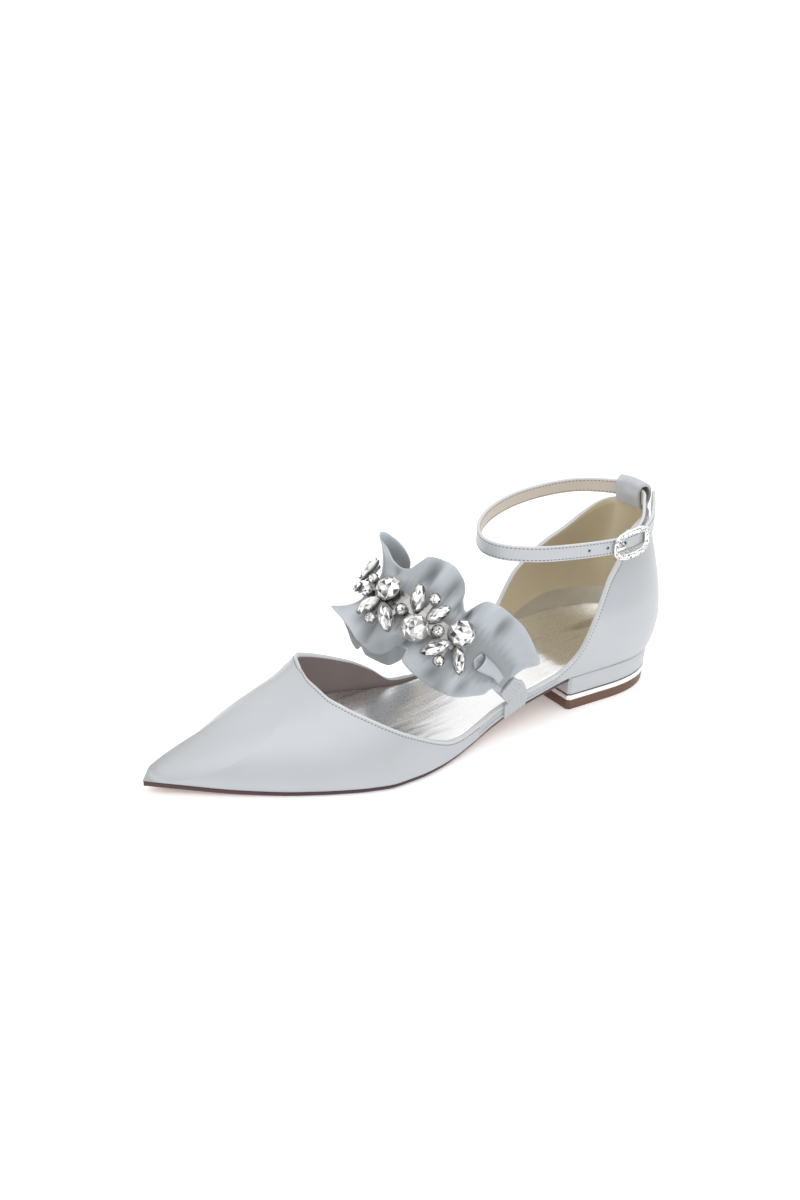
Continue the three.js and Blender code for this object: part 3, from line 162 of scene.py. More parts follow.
COLLAR = Table(
    "at outer inner",
    (0.016, 1, 1), (0.033, 0.985, 0.985), (0.063, 0.94, 0.945), (0.094, 0.87, 0.885),
    (0.127, 0.765, 0.79), (0.159, 0.67, 0.7), (0.183, 0.56, 0.595), (0.205, 0.43, 0.48),
    (0.221, 0.31, 0.365), (0.237, 0.2, 0.255), (0.258, 0.125, 0.165), (0.278, 0.1, 0.11),
    (0.305, 0.0984, 0.0984),
)
THROAT_OUTER = Table(
    "at along turn",
    (0.439, 0.439, 6.3), (0.481, 0.481, 6.8), (0.522, 0.517, 8.5), (0.564, 0.555, 13.2),
    (0.616, 0.597, 21), (0.668, 0.631, 29), (0.73, 0.6657, 41.8), (0.802, 0.6913, 55.8),
    (0.886, 0.705, 69), (0.958, 0.7067, 82), (1, 0.6983, 92.5),
)
THROAT_INNER = Table(
    "at along turn",
    (0.439, 0.439, 173.7), (0.481, 0.481, 172.5), (0.522, 0.512, 166), (0.564, 0.541, 160.5),
    (0.616, 0.574, 155), (0.668, 0.604, 149), (0.73, 0.637, 140), (0.802, 0.663, 126),
    (0.886, 0.6825, 110), (0.958, 0.6935, 98.5), (1, 0.6983, 92.5),
)
SIDE_STATIONS = (
    0.16, 0.175, 0.19, 0.205, 0.218, 0.232, 0.246, 0.262, 0.282, 0.313, 0.343, 0.376, 0.407,
    0.438, 0.471, 0.501, 0.532, 0.562, 0.595, 0.631, 0.668, 0.705, 0.74, 0.781, 0.822, 0.863,
    0.903, 0.942, 0.974, 0.991,
)
ANKLE = Table(
    "along across rise lean",
    (0.1432, 0.349, -0.71, 0), (0.1197, 0.334, -0.66, 0), (0.0872, 0.273, -0.47, 2),
    (0.0540, 0.162, -0.14, 4), (0.0357, 0.092, 0.00, 3), (0.0280, 0.025, 0.00, 3),
    (0.0272, -0.038, 0.00, 3), (0.0320, -0.104, 0.00, 3), (0.0548, -0.190, 0.01, 8),
    (0.0994, -0.262, 0.10, 13), (0.1643, -0.297, 0.10, 12), (0.2373, -0.285, 0.03, 8),
    (0.3103, -0.203, -0.09, 4), (0.3631, -0.063, -0.21, 0), (0.3834, 0.076, -0.24, 0),
    (0.3732, 0.209, -0.20, 0), (0.3266, 0.316, -0.26, 0), (0.2617, 0.366, -0.43, 0),
    (0.2049, 0.382, -0.61, 0), (0.1724, 0.386, -0.69, 0), (0.1400, 0.377, -0.70, 0),
    (0.1075, 0.353, -0.63, 0), (0.0751, 0.295, -0.49, 0), (0.0446, 0.203, -0.30, 0),
    (0.0203, 0.114, -0.10, 0), (0.0061, 0.063, 0.04, 0),
)
INSTEP = Table(
    "along across rise",
    (0.3915, 0.344, 0.400), (0.4260, 0.332, 0.575), (0.4645, 0.285, 0.725),
    (0.4970, 0.184, 0.842), (0.5213, 0.051, 0.950), (0.5335, -0.101, 1.000),
    (0.5375, -0.222, 0.980), (0.5233, -0.310, 0.875), (0.4929, -0.358, 0.717),
    (0.4523, -0.363, 0.550), (0.4158, -0.342, 0.408),
)
INSTEP_AT = {"outer": 0.368, "inner": 0.386}
RUFFLE_REAR = Table(
    "at reach lift lean",
    (0.000, 0.17, 0.04, 0.00), (0.017, 0.38, 0.12, -0.08), (0.034, 0.65, 0.21, -0.29),
    (0.059, 0.77, 0.15, -0.20), (0.101, 0.92, 0.08, 0.00), (0.175, 0.94, 0.12, 0.00),
    (0.224, 0.90, 0.02, 0.00), (0.249, 0.71, -0.12, 0.00), (0.269, 0.54, 0.04, 0.00),
    (0.298, 0.71, -0.21, 0.00), (0.326, 0.92, -0.33, 0.00), (0.355, 1.00, -0.08, 0.00),
    (0.396, 1.03, 0.14, 0.00), (0.437, 0.99, 0.21, 0.00), (0.465, 0.88, 0.29, 0.00),
    (0.486, 0.73, 0.17, 0.00), (0.510, 0.56, 0.06, 0.00), (0.535, 0.54, 0.02, 0.00),
    (0.559, 0.56, 0.09, 0.00), (0.592, 0.71, 0.29, 0.00), (0.625, 0.83, 0.51, 0.00),
    (0.649, 0.93, 0.58, -0.08), (0.678, 1.00, 0.40, -0.33), (0.706, 0.99, 0.04, -0.58),
    (0.739, 0.95, -0.27, -0.67), (0.764, 0.88, -0.38, -0.58), (0.788, 0.71, -0.33, -0.38),
    (0.821, 0.58, -0.04, -0.08), (0.870, 0.83, 0.21, 0.08), (0.913, 0.88, 0.21, 0.11),
    (0.935, 0.71, -0.08, 0.17), (0.960, 0.62, 0.17, 0.29), (0.981, 0.42, 0.12, 0.29),
    (1.000, 0.17, 0.04, 0.00),
)
RUFFLE_FRONT = Table(
    "at reach lift lean",
    (0.000, 0.17, 0.04, 0.00), (0.030, 0.23, 0.04, 0.00), (0.055, 0.31, 0.03, -0.08),
    (0.076, 0.43, 0.07, -0.12), (0.093, 0.60, 0.00, -0.04), (0.126, 0.75, -0.04, 0.00),
    (0.159, 0.82, -0.10, 0.00), (0.216, 0.85, -0.33, 0.00), (0.265, 0.85, -0.08, 0.15),
    (0.314, 0.80, -0.06, 0.15), (0.355, 0.60, 0.04, 0.00), (0.388, 0.60, -0.25, 0.00),
    (0.437, 0.85, -0.50, 0.00), (0.478, 0.98, -0.29, 0.00), (0.518, 0.97, -0.04, 0.00),
    (0.559, 0.88, 0.10, 0.00), (0.625, 0.69, 0.33, 0.00), (0.674, 0.60, 0.21, 0.00),
    (0.723, 0.71, -0.04, 0.00), (0.780, 0.83, -0.17, 0.00), (0.837, 0.71, 0.17, 0.00),
    (0.895, 0.79, 0.21, 0.00), (0.926, 0.71, -0.08, 0.13), (0.951, 0.50, 0.04, 0.25),
    (0.977, 0.29, 0.06, 0.08), (1.000, 0.17, 0.04, 0.00),
)


class Cut(Enum):
    """The cuts of stone on the instep."""

    ROUND = "round"
    LEAF = "leaf"
    SMALL = "small"


@dataclass(frozen=True)
class StonePlace:
    """One stone: its cut, its place along the strap, how far ahead of its middle and over it."""

    cut: Cut
    at: float
    ahead: float
    up: float
    length: float
    width: float
    turn: float


STONES = tuple(
    StonePlace(*row)
    for row in (
        (Cut.ROUND, 0.508, -0.10, 0, 10.8, 10.8, 0),
        (Cut.ROUND, 0.389, 0.59, 0.2, 11, 11, 0),
        (Cut.ROUND, 0.285, -0.39, 0, 10.8, 10.8, 0),
        (Cut.LEAF, 0.429, -0.49, 0, 11.6, 6.2, 118),
        (Cut.LEAF, 0.366, -0.45, 0, 11, 5.4, 66),
        (Cut.LEAF, 0.322, 0.73, 0.2, 12.6, 6.2, 52),
        (Cut.LEAF, 0.258, 0.62, 0.2, 11, 5.2, 126),
        (Cut.LEAF, 0.458, 0.99, 0.2, 12.8, 6, 142),
        (Cut.LEAF, 0.522, 0.96, 0.2, 10.6, 5.2, 69),
        (Cut.LEAF, 0.599, -0.60, 0.2, 11, 5.2, 84),
        (Cut.SMALL, 0.396, -0.86, 0.2, 4.6, 4.6, 0),
        (Cut.SMALL, 0.444, 0.30, 0, 4.8, 4.8, 0),
        (Cut.SMALL, 0.340, 0.09, 0, 5, 5, 0),
        (Cut.SMALL, 0.298, 1.09, 0.2, 4.6, 4.6, 0),
        (Cut.SMALL, 0.492, 1.36, 0.2, 4.6, 4.6, 0),
        (Cut.SMALL, 0.557, 0.37, 0, 4.8, 4.8, 0),
        (Cut.SMALL, 0.564, -0.24, 0, 4.4, 4.4, 0),
        (Cut.SMALL, 0.606, 0.24, 0, 4.8, 4.8, 0),
    )
)


def mix(a: float, b: float, share: float) -> float:
    """Return the value a share of the way from a to b."""
    return a + (b - a) * share


def ease(start: float, end: float, value: float) -> float:
    """Return 0 before start, 1 after end and a smooth step between them."""
    t = min(max((value - start) / (end - start), 0.0), 1.0)
    return t * t * (3 - 2 * t)


def hump(centre: float, width: float, value: float) -> float:
    """Return a smooth bump of height 1 round a centre."""
    return math.exp(-(((value - centre) / width) ** 2))


@dataclass
class Station:
    """A place on the seam between upper and sole, with the way out of the shoe there."""

    along: float
    side: int
    turn: float = math.pi / 2
    tip: bool = False
    foot: Vector = field(default_factory=Vector)
    out: Vector = field(default_factory=Vector)


class Last:
    """The form that the upper is drawn over, worked out from the tables."""

    def __init__(self) -> None:
        """Read the tables as curves."""
        self.edge = {1: SEAM.curve("outer"), -1: SEAM.curve("inner")}
        self.level = SEAM.curve("height")
        self.ridge, self.across = RIDGE.curve("height"), RIDGE.curve("across")
        self.back, self.sideways = COUNTER.curve("back"), COUNTER.curve("side")
        self.collar = {1: COLLAR.curve("outer"), -1: COLLAR.curve("inner")}
        throats = {1: THROAT_OUTER, -1: THROAT_INNER}
        self.throat = {side: (t.curve("along"), t.curve("turn")) for side, t in throats.items()}

    def seam_height(self, along: float) -> float:
        """Return the seam's height at a place along the shoe."""
        return self.level(along) * SEAT_HEIGHT

    def seam_point(self, along: float, side: int, turn: float = math.pi / 2) -> Vector:
        """Return the seam's point on one side, rounded by the turn at the heel.

        Args:
            along: the share of the shoe's length.
            side: 1 outer, -1 inner.
            turn: the turn round it, in radians.

        Returns:
            The point, in millimetres.
        """
        rounding = max(math.sin(turn), 0.0) ** (2 / HEEL_POWER)
        across = self.edge[side](along) * BALL_WIDTH * rounding
        return Vector((along * SHOE_LENGTH, across, self.seam_height(along)))

    @staticmethod
    def heel_along(turn: float) -> float:
        """Return where the heel's round stands along the shoe at a turn."""
        reach = max(math.cos(turn), 0.0) ** (2 / HEEL_POWER)
        return HEEL_ROUND - (HEEL_ROUND - HEEL_BACK) * reach

    def side_stations(
        self, side: int, fine: int, extra: Sequence[float] = (), heel_turns: int = 8
    ) -> list[Station]:
        """Return one side's stations from the back to the toe.

        Args:
            side: 1 for the outer side, -1 for the inner one.
            fine: how many stations stand for each of the solid's.
            extra: more places along the shoe that get a station.
            heel_turns: how many parts the heel's round has before that.

        Returns:
            The stations, each with its foot on the seam.
        """
        count = heel_turns * fine
        turns = [math.pi / 2 * i / count for i in range(count + 1)]
        stations = [Station(self.heel_along(turn), side, turn) for turn in turns]
        marks = (HEEL_ROUND,) + SIDE_STATIONS
        alongs = [mix(a, b, (k + 1) / fine) for a, b in zip(marks, marks[1:]) for k in range(fine)]
        stations += [Station(along, side) for along in sorted([*alongs, *extra])]
        for station in stations:
            station.foot = self.seam_point(station.along, side, station.turn)
        return stations

    def ring(self, fine: int, extra: Sequence[float] = ()) -> list[Station]:
        """Return the stations once round the shoe, from the back over the toe.

        Args:
            fine: how finely it is divided.
            extra: further shares that get a station.

        Returns:
            The stations in order.
        """
        tip = Station(1.0, 1, tip=True, foot=self.seam_point(1.0, 1))
        inner = self.side_stations(-1, fine, extra)[1:][::-1]
        ring = self.side_stations(1, fine, extra) + [tip] + inner
        for i, station in enumerate(ring):
            before, after = ring[i - 1].foot, ring[(i + 1) % len(ring)].foot
            station.out = Vector((before.y - after.y, after.x - before.x, 0)).normalized()
        return ring

    def waist_station(self, along: float, side: int) -> Station:
        """Return a station of its own on the side of the waist.

        Args:
            along: the share of the shoe's length.
            side: 1 outer, -1 inner.

        Returns:
            The station.
        """
        step = 0.004
        way = self.seam_point(along + step, side) - self.seam_point(along - step, side)
        out = Vector((-way.y, way.x, 0)).normalized() * side
        return Station(along, side, foot=self.seam_point(along, side), out=out)

    def back_station(self, across: float) -> Station:
        """Return the heel's station whose foot lies at a distance across the shoe.

        Args:
            across: the distance across.

        Returns:
            The station.
        """
        side = -1 if across < 0 else 1
        width = abs(self.edge[side](HEEL_BACK)) * BALL_WIDTH
        turn = math.asin(min(abs(across) / width, 1) ** (HEEL_POWER / 2))
        depth = (HEEL_ROUND - HEEL_BACK) * SHOE_LENGTH
        bend = 2 - 2 / HEEL_POWER
        out = Vector((-(math.cos(turn) ** bend) / depth, side * math.sin(turn) ** bend / width, 0))
        along = self.heel_along(turn)
        return Station(along, side, turn, foot=self.seam_point(along, side, turn), out=out.normalized())

    @staticmethod
    def fullness(along: float, side: int) -> tuple[float, float]:
        """Return how full the section is on a side and toward its crown; the inner toe is flatter.

        Args:
            along: the share of the shoe's length.
            side: 1 outer, -1 inner.

        Returns:
            The exponents of the side and the crown.
        """
        flat = 0.0 if side > 0 else ease(FLAT_FROM, FLAT_TO, along)
        crown = mix(CROWN_FULLNESS, INNER_CROWN_FULLNESS, flat)
        return mix(SIDE_FULLNESS, INNER_SIDE_FULLNESS, flat), crown

    def last_point(self, along: float, turn: float, inset: float) -> Vector:
        """Return a point of the forepart's section, turned from the outer seam to the inner one.

        Args:
            along: the share of the shoe's length.
            turn: the turn round it, in radians.
            inset: how far inside the face it lies.

        Returns:
            The point, in millimetres.
        """
        low = self.seam_height(along)
        top = self.ridge(along) * VAMP_HEIGHT - inset
        middle = self.across(along) * BALL_WIDTH
        side = 1 if turn < math.pi / 2 else -1
        edge = self.edge[side](along) * BALL_WIDTH - side * inset
        fullness, crown = self.fullness(along, side)
        reach = abs(math.cos(turn)) ** (2 / fullness)
        rise = max(math.sin(turn), 0.0) ** (2 / crown)
        return Vector((along * SHOE_LENGTH, mix(middle, edge, reach), mix(low, top, rise)))

    def turn_at(self, along: float, height: float, side: int) -> float:
        """Return the turn at which the section has risen by a height over the seam.

        Args:
            along: the share of the shoe's length.
            height: the height over the seam.
            side: 1 outer, -1 inner.

        Returns:
            The value.
        """
        full = self.ridge(along) * VAMP_HEIGHT - self.seam_height(along)
        turn = math.asin(min(max(height, 0.0) / full, 1) ** (self.fullness(along, side)[1] / 2))
        return turn if side > 0 else math.pi - turn

    def counter_point(self, station: Station, height: float, inset: float) -> Vector:
        """Return a point of the counter and waist, leaning out from the seam.

        Args:
            station: the station.
            height: the height over the seam.
            inset: how far inside the face it lies.

        Returns:
            The point, in millimetres.
        """
        level = height / COUNTER_HEIGHT
        behind = max(-station.out.x, 0.0) ** 1.5
        lean = mix(self.sideways(level), self.back(level), behind) * COUNTER_HEIGHT - inset
        return station.foot + station.out * lean + Vector((0, 0, height))

    def side_point(self, station: Station, height: float, inset: float) -> Vector:
        """Return a point of the side wall, where the counter passes into the forepart.

        Args:
            station: the station.
            height: the height over the seam.
            inset: how far inside the face it lies.

        Returns:
            The point, in millimetres.
        """
        rear = self.counter_point(station, height, inset)
        turn = self.turn_at(station.along, height, station.side)
        fore = self.last_point(station.along, turn, inset)
        return rear.lerp(fore, ease(WAIST_FROM, WAIST_TO, station.along))

    def edge_height(self, station: Station) -> float:
        """Return the top edge's height over the seam behind the vamp."""
        return max(self.collar[station.side](station.along) * COUNTER_HEIGHT, WAIST_STRIP_HEIGHT)

    def point(self, station: Station, level: float, inset: float) -> Vector:
        """Return the upper's point over a station.

        Args:
            station: the place on the seam.
            level: 0 at the seam and 1 at the top edge.
            inset: how far inside the outer face it lies.

        Returns:
            The point, in millimetres.
        """
        if station.along < VAMP_FROM:
            return self.side_point(station, level * self.edge_height(station), inset)
        along_of, turn_of = self.throat[station.side]
        foot_turn = math.pi / 2 if station.tip else (0.0 if station.side > 0 else math.pi)
        along = mix(station.along, along_of(station.along), level)
        if inset > 0 and along > TOE_FROM:
            room, fill = 1 - TOE_FROM, TOE_FILL / SHOE_LENGTH * min(inset / WALL, 1)
            along = TOE_FROM + (along - TOE_FROM) * (room - fill) / room
        turn = mix(foot_turn, math.radians(turn_of(station.along)), level)
        point = self.last_point(along, turn, inset)
        if station.tip and level == 0:
            point.z = self.seam_height(along)
        return point


@dataclass(frozen=True)
class RouteFrame:
    """A place on a route: its point, the way it runs, out of its face and across it."""

    point: Vector
    run: Vector
    out: Vector
    across: Vector

    def beside(self, across: float, out: float, along: float = 0.0) -> Vector:
        """Return a point beside the route: across its face, out of it and along it."""
        return self.point + self.across * across + self.out * out + self.run * along


class Route:
    """A smooth route through points, with its frame at any distance along it."""

    SAMPLES = 600

    def __init__(self, points: list[Vector], sideways: Vector, leans: Sequence[float] = ()) -> None:
        """Lay the route.

        Args:
            points: the points that it passes through.
            sideways: the way that its face's across direction keeps to.
            leans: degrees by which its face leans at each point.
        """
        self.points, self.sideways = points, sideways
        last = len(points) - 1
        rows = [(i / last, leans[i] if leans else 0.0) for i in range(last + 1)]
        self.lean = Table("at lean", *rows).curve("lean")
        self.samples = [self.at(i / self.SAMPLES) for i in range(self.SAMPLES + 1)]
        self.lengths = [0.0]
        for a, b in zip(self.samples, self.samples[1:]):
            self.lengths.append(self.lengths[-1] + (b - a).length)
        self.length = self.lengths[-1]

    def at(self, t: float) -> Vector:
        """Return the centripetal spline's point at a parameter from 0 to 1.

        Args:
            t: the parameter.

        Returns:
            The point, in millimetres.
        """
        points, last = self.points, len(self.points) - 1
        i = min(int(last * t), last - 1)
        weight = last * t - i
        p1, p2 = points[i], points[i + 1]
        p0 = points[i - 1] if i > 0 else 2 * p1 - p2
        p3 = points[i + 2] if i + 2 <= last else 2 * p2 - p1
        d0, d1, d2 = (math.sqrt((b - a).length) for a, b in ((p0, p1), (p1, p2), (p2, p3)))
        t1 = ((p1 - p0) / d0 - (p2 - p0) / (d0 + d1) + (p2 - p1) / d1) * d1
        t2 = ((p2 - p1) / d1 - (p3 - p1) / (d1 + d2) + (p3 - p2) / d2) * d1
        cubic = 2 * p1 - 2 * p2 + t1 + t2
        square = 3 * p2 - 3 * p1 - 2 * t1 - t2
        return p1 + t1 * weight + square * weight**2 + cubic * weight**3

    def frame(self, distance: float) -> RouteFrame:
        """Return the route's frame at a distance from its start.

        Args:
            distance: the distance from the start.

        Returns:
            The frame.
        """
        distance = min(max(distance, 0.0), self.length)
        low, high = 0, self.SAMPLES
        while high - low > 1:
            middle = (low + high) // 2
            low, high = (middle, high) if self.lengths[middle] <= distance else (low, middle)
        t = (low + (distance - self.lengths[low]) / (self.lengths[high] - self.lengths[low])) / self.SAMPLES
        step = 0.0001
        run = (self.at(min(t + step, 1)) - self.at(max(t - step, 0))).normalized()
        out = run.cross(self.sideways).normalized()
        out.rotate(Quaternion(run, -math.radians(self.lean(t))))
        return RouteFrame(self.at(t), run, out, out.cross(run))


def ankle_route() -> Route:
    """Return the ankle strap's route from the buckle's bar round the leg to its tail.

    Returns:
        The route.
    """
    seat = SEAT_HEIGHT + COUNTER_HEIGHT + 2 * GAP + STRAP_HEIGHT / 2
    points = [
        Vector((row["along"] * SHOE_LENGTH, row["across"] * BALL_WIDTH, seat + row["rise"] * STRAP_HEIGHT))
        for row in ANKLE.rows
    ]
    return Route(points, Vector((0, 0, 1)), ANKLE.column("lean"))


def instep_route(last: Last) -> Route:
    """Return the instep strap's route from the outer waist strip to the inner one.

    Args:
        last: the last.

    Returns:
        The route.
    """
    lean = math.radians(INSTEP_LEAN)
    dip = INSTEP_WIDTH / 2 * math.sin(lean)

    def end(name: str, side: int) -> Vector:
        """Return the strap's end over one waist strip."""
        height = WAIST_STRIP_HEIGHT + GAP + dip
        return last.side_point(last.waist_station(INSTEP_AT[name], side), height, WALL / 2)

    over = [
        Vector((row["along"] * SHOE_LENGTH, row["across"] * BALL_WIDTH, row["rise"] * INSTEP_HEIGHT))
        for row in INSTEP.rows
    ]
    points = [end("outer", 1), *over, end("inner", -1)]
    return Route(points, Vector((math.cos(lean), 0, -math.sin(lean))))


def place_mm(point: Vector) -> Vector:
    """Return a point of the shoe in metres, with the heel lift's middle at the origin."""
    return Vector((point.x - HEEL_MIDDLE, point.y, point.z)) * MM


@dataclass
class Piece:
    """A mesh in the making, with the finishes that its faces take."""

    name: str
    slot: str
    finishes: list[bpy.types.Material]
    facets: random.Random | None = None
    mesh: bmesh.types.BMesh = field(default_factory=bmesh.new)

    def grid(
        self,
        rows: int,
        columns: int,
        place: Callable[[int, int], Vector],
        finish: Callable[[int, int], int] = lambda r, c: 0,
        wrap_rows: bool = False,
        wrap_columns: bool = False,
        caps: bool = False,
        smooth: bool = True,
    ) -> dict[tuple[int, int], bmesh.types.BMVert]:
        """Add a sheet of faces whose points a function places, with cloth lengths as its UV map.

        Args:
            rows: faces along the sheet.
            columns: faces across it.
            place: the point at a row and column, in millimetres.
            finish: the index of a face's finish at its row and column.
            wrap_rows: the last row of points meets the first one.
            wrap_columns: the last column of points meets the first one.
            caps: the open ends of a wrapped sheet are filled.
            smooth: the faces are shaded as one curved surface.

        Returns:
            The sheet's vertices by row and column.
        """
        points = [[place(r, c) for c in range(columns + (not wrap_columns))]
                  for r in range(rows + (not wrap_rows))]

        def point(r: int, c: int) -> Vector:
            """Return the point at a row and column, round the ends."""
            return points[r % rows if wrap_rows else r][c % columns if wrap_columns else c]

        along, across = [0.0], [0.0]
        for r in range(rows):
            along.append(along[-1] + (point(r + 1, columns // 2) - point(r, columns // 2)).length)
        for c in range(columns):
            across.append(across[-1] + (point(rows // 2, c + 1) - point(rows // 2, c)).length)
        made = bmesh.ops.create_grid(self.mesh, x_segments=columns, y_segments=rows, size=0.5)
        spots = {v: (round((v.co.y + 0.5) * rows), round((v.co.x + 0.5) * columns)) for v in made["verts"]}
        cloth = self.mesh.loops.layers.uv.verify()
        for face in {f for v in spots for f in v.link_faces}:
            row = min(spots[v][0] for v in face.verts)
            column = min(spots[v][1] for v in face.verts)
            face.material_index = finish(row, column)
            face.smooth = smooth
            for loop in face.loops:
                r, c = spots[loop.vert]
                loop[cloth].uv = (along[r], across[c])
        for v, (r, c) in spots.items():
            v.co = place_mm(point(r, c))
        if wrap_rows or wrap_columns:
            bmesh.ops.remove_doubles(self.mesh, verts=list(spots), dist=1e-7)
        left = {spot: v for v, spot in spots.items() if v.is_valid}
        if caps:
            edges = [e for e in {e for v in left.values() for e in v.link_edges} if e.is_boundary]
            bmesh.ops.holes_fill(self.mesh, edges=edges, sides=0)
        return left

    def punch(
        self, verts: dict, row: int, column: int, under: int, half: int, radius: float, finish: int
    ) -> None:
        """Cut a round hole through a flat band.

        Args:
            verts: the band's vertices by row and column.
            row: the hole's middle row.
            column: its middle column on the upper face.
            under: the same column on the lower face.
            half: how many faces it takes from its middle.
            radius: its radius, in millimetres.
            finish: the index of the finish on its wall.
        """
        rims = []
        for middle in (column, under):
            centre = verts[(row, middle)].co.copy()
            inside = [verts[(row + r, middle + c)]
                      for r in range(1 - half, half) for c in range(1 - half, half)]
            rim = [v for r in range(-half, half + 1) for c in range(-half, half + 1)
                   if max(abs(r), abs(c)) == half for v in [verts[(row + r, middle + c)]]]
            for v in rim:
                v.co = centre + (v.co - centre).normalized() * radius * MM
            bmesh.ops.delete(self.mesh, geom=inside, context="VERTS")
            rims += [e for e in {e for v in rim for e in v.link_edges} if e.is_boundary]
        walls = bmesh.ops.bridge_loops(self.mesh, edges=rims)["faces"]
        for face in walls:
            face.material_index = finish

    def pearl(self, size: Sequence[float], frame_: Matrix, segments: int = 6, rings: int = 4,
              finish: int = 0) -> None:
        """Add a small round form, such as a stitch or a bead.

        Args:
            size: its half lengths along its frame, in millimetres.
            frame_: its place and turn, in millimetres.
            segments: faces round it.
            rings: faces from pole to pole.
            finish: the index of its finish.
        """
        made = bmesh.ops.create_uvsphere(self.mesh, u_segments=segments, v_segments=rings, radius=1.0)
        scaled = frame_ @ Matrix.Diagonal((*size, 1.0))
        for v in made["verts"]:
            v.co = place_mm(scaled @ v.co)
        for face in {f for v in made["verts"] for f in v.link_faces}:
            face.material_index = finish
            face.smooth = self.facets is None

    def done(self, *nodes: str, modifiers: Iterable[tuple[str, dict]] = ()) -> bpy.types.Object:
        """Make the object, dress it and let it ride on the shoe.

        Args:
            nodes: the solids that it stands for.
            modifiers: the kind and settings of each modifier that finishes it.

        Returns:
            The object.
        """
        bmesh.ops.recalc_face_normals(self.mesh, faces=self.mesh.faces)
        data = bpy.data.meshes.new(self.name)
        self.mesh.to_mesh(data)
        self.mesh.free()
        piece = bpy.data.objects.new(self.name, data)
        bpy.context.scene.collection.objects.link(piece)
        for finish in self.finishes:
            data.materials.append(finish)
        # Each face of a cut stone takes a random painted reflection as its colour.
        if self.facets:
            painted_facet_shades = data.attributes.new("facet", "FLOAT_COLOR", "FACE")
            for shade in painted_facet_shades.data:
                shade.color = (*self.facets.choice(PAINTED_FACET_REFLECTIONS), 1.0)
        for kind, settings in modifiers:
            modifier = piece.modifiers.new(kind.title(), kind)
            for key, value in settings.items():
                setattr(modifier, key, value)
        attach(piece, "root")
        if nodes:
            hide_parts(*nodes)
        LOG.info("%s: %d faces", self.name, len(data.polygons))
        return piece


def axes_frame(point: Vector, run: Vector, out: Vector) -> Matrix:
    """Return a placed frame whose x runs along a way and whose z points out.

    Args:
        point: its origin, in millimetres.
        run: the way of its x axis.
        out: about the way of its z axis.

    Returns:
        The frame as a matrix.
    """
    x = run.normalized()
    y = out.cross(x).normalized()
    turned = Matrix((x, y, x.cross(y))).transposed().to_4x4()
    return Matrix.Translation(point) @ turned


@dataclass(frozen=True)
class Stitching:
    """A row of machine stitches in thread."""

    pitch: float = 1.5
    share: float = 0.66
    width: float = 0.36
    height: float = 0.2
    sink: float = 0.03

    def sew(self, piece: Piece, line: list[tuple[Vector, Vector]], finish: int = 0) -> None:
        """Lay stitches along a line.

        Args:
            piece: the piece that the stitches join.
            line: points with the way out of the face at each of them.
            finish: the index of the thread's finish.
        """
        left = self.pitch / 2
        for (a, out), (b, _) in zip(line, line[1:]):
            step = (b - a).length
            while left <= step and step > 0:
                point = a.lerp(b, left / step) + out * self.sink
                size = (self.pitch * self.share / 2, self.width / 2, self.height / 2)
                piece.pearl(size, axes_frame(point, b - a, out), finish=finish)
                left += self.pitch
            left -= step


class Shader:
    """A material's nodes, with short ways to add and link them."""

    def __init__(self, name: str, **bsdf: object) -> None:
        """Make a material with one Principled shader.

        Args:
            name: the finish's name.
            bsdf: values of the shader's sockets, spaces written as underscores.
        """
        self.material = bpy.data.materials.new(name)
        self.material.use_nodes = True
        self.tree = self.material.node_tree
        self.bsdf = next(n for n in self.tree.nodes if n.type == "BSDF_PRINCIPLED")
        for key, value in bsdf.items():
            self.bsdf.inputs[key.replace("_", " ")].default_value = value
        places = self.add("ShaderNodeTexCoord")
        self.object, self.cloth = places.outputs["Object"], places.outputs["UV"]

    def add(self, kind: str, settings: dict | None = None, **inputs: object) -> bpy.types.Node:
        """Add a node.

        Args:
            kind: the node's type.
            settings: values of the node's own properties.
            inputs: its sockets' values, or the sockets that feed them.

        Returns:
            The node.
        """
        return add_node(self.tree, kind, settings, **inputs)

    def link(self, socket: bpy.types.NodeSocket, name: str) -> None:
        """Feed one of the shader's sockets."""
        self.tree.links.new(socket, self.bsdf.inputs[name])

    def bump(self, height: bpy.types.NodeSocket, strength: float, distance: float) -> None:
        """Let a height bend the shader's normal, over any bump that is there.

        Args:
            height: the height's socket.
            strength: how strongly it bends.
            distance: how far it rises.
        """
        node = self.add("ShaderNodeBump", Strength=strength, Distance=distance * MM, Height=height)
        before = self.bsdf.inputs["Normal"].links
        if before:
            self.tree.links.new(before[0].from_socket, node.inputs["Normal"])
        self.link(node.outputs["Normal"], "Normal")

    def tint(self, colour: Sequence[float], shade: bpy.types.NodeSocket) -> None:
        """Colour the shader, lightened and darkened by a shade about 1.

        Args:
            colour: the colour.
            shade: the shade.
        """
        tone = self.add("ShaderNodeVectorMath", {"operation": "SCALE"}, i0=colour)
        self.tree.links.new(shade, tone.inputs["Scale"])
        self.link(tone.outputs[0], "Base Color")

    def spread(self, value: bpy.types.NodeSocket, low: float, high: float) -> bpy.types.NodeSocket:
        """Return a value from 0 to 1 spread from low to high."""
        return self.add("ShaderNodeMapRange", Value=value, To_Min=low, To_Max=high).outputs[0]

    def mottle(self, scale: float, detail: float) -> bpy.types.NodeSocket:
        """Return soft uneven patches over the piece."""
        return self.add("ShaderNodeTexNoise", Vector=self.object, Scale=scale, Detail=detail).outputs["Fac"]

    def roughen(self, value: bpy.types.NodeSocket, low: float, high: float) -> None:
        """Spread a value over the shader's roughness, from low to high."""
        self.link(self.spread(value, low, high), "Roughness")


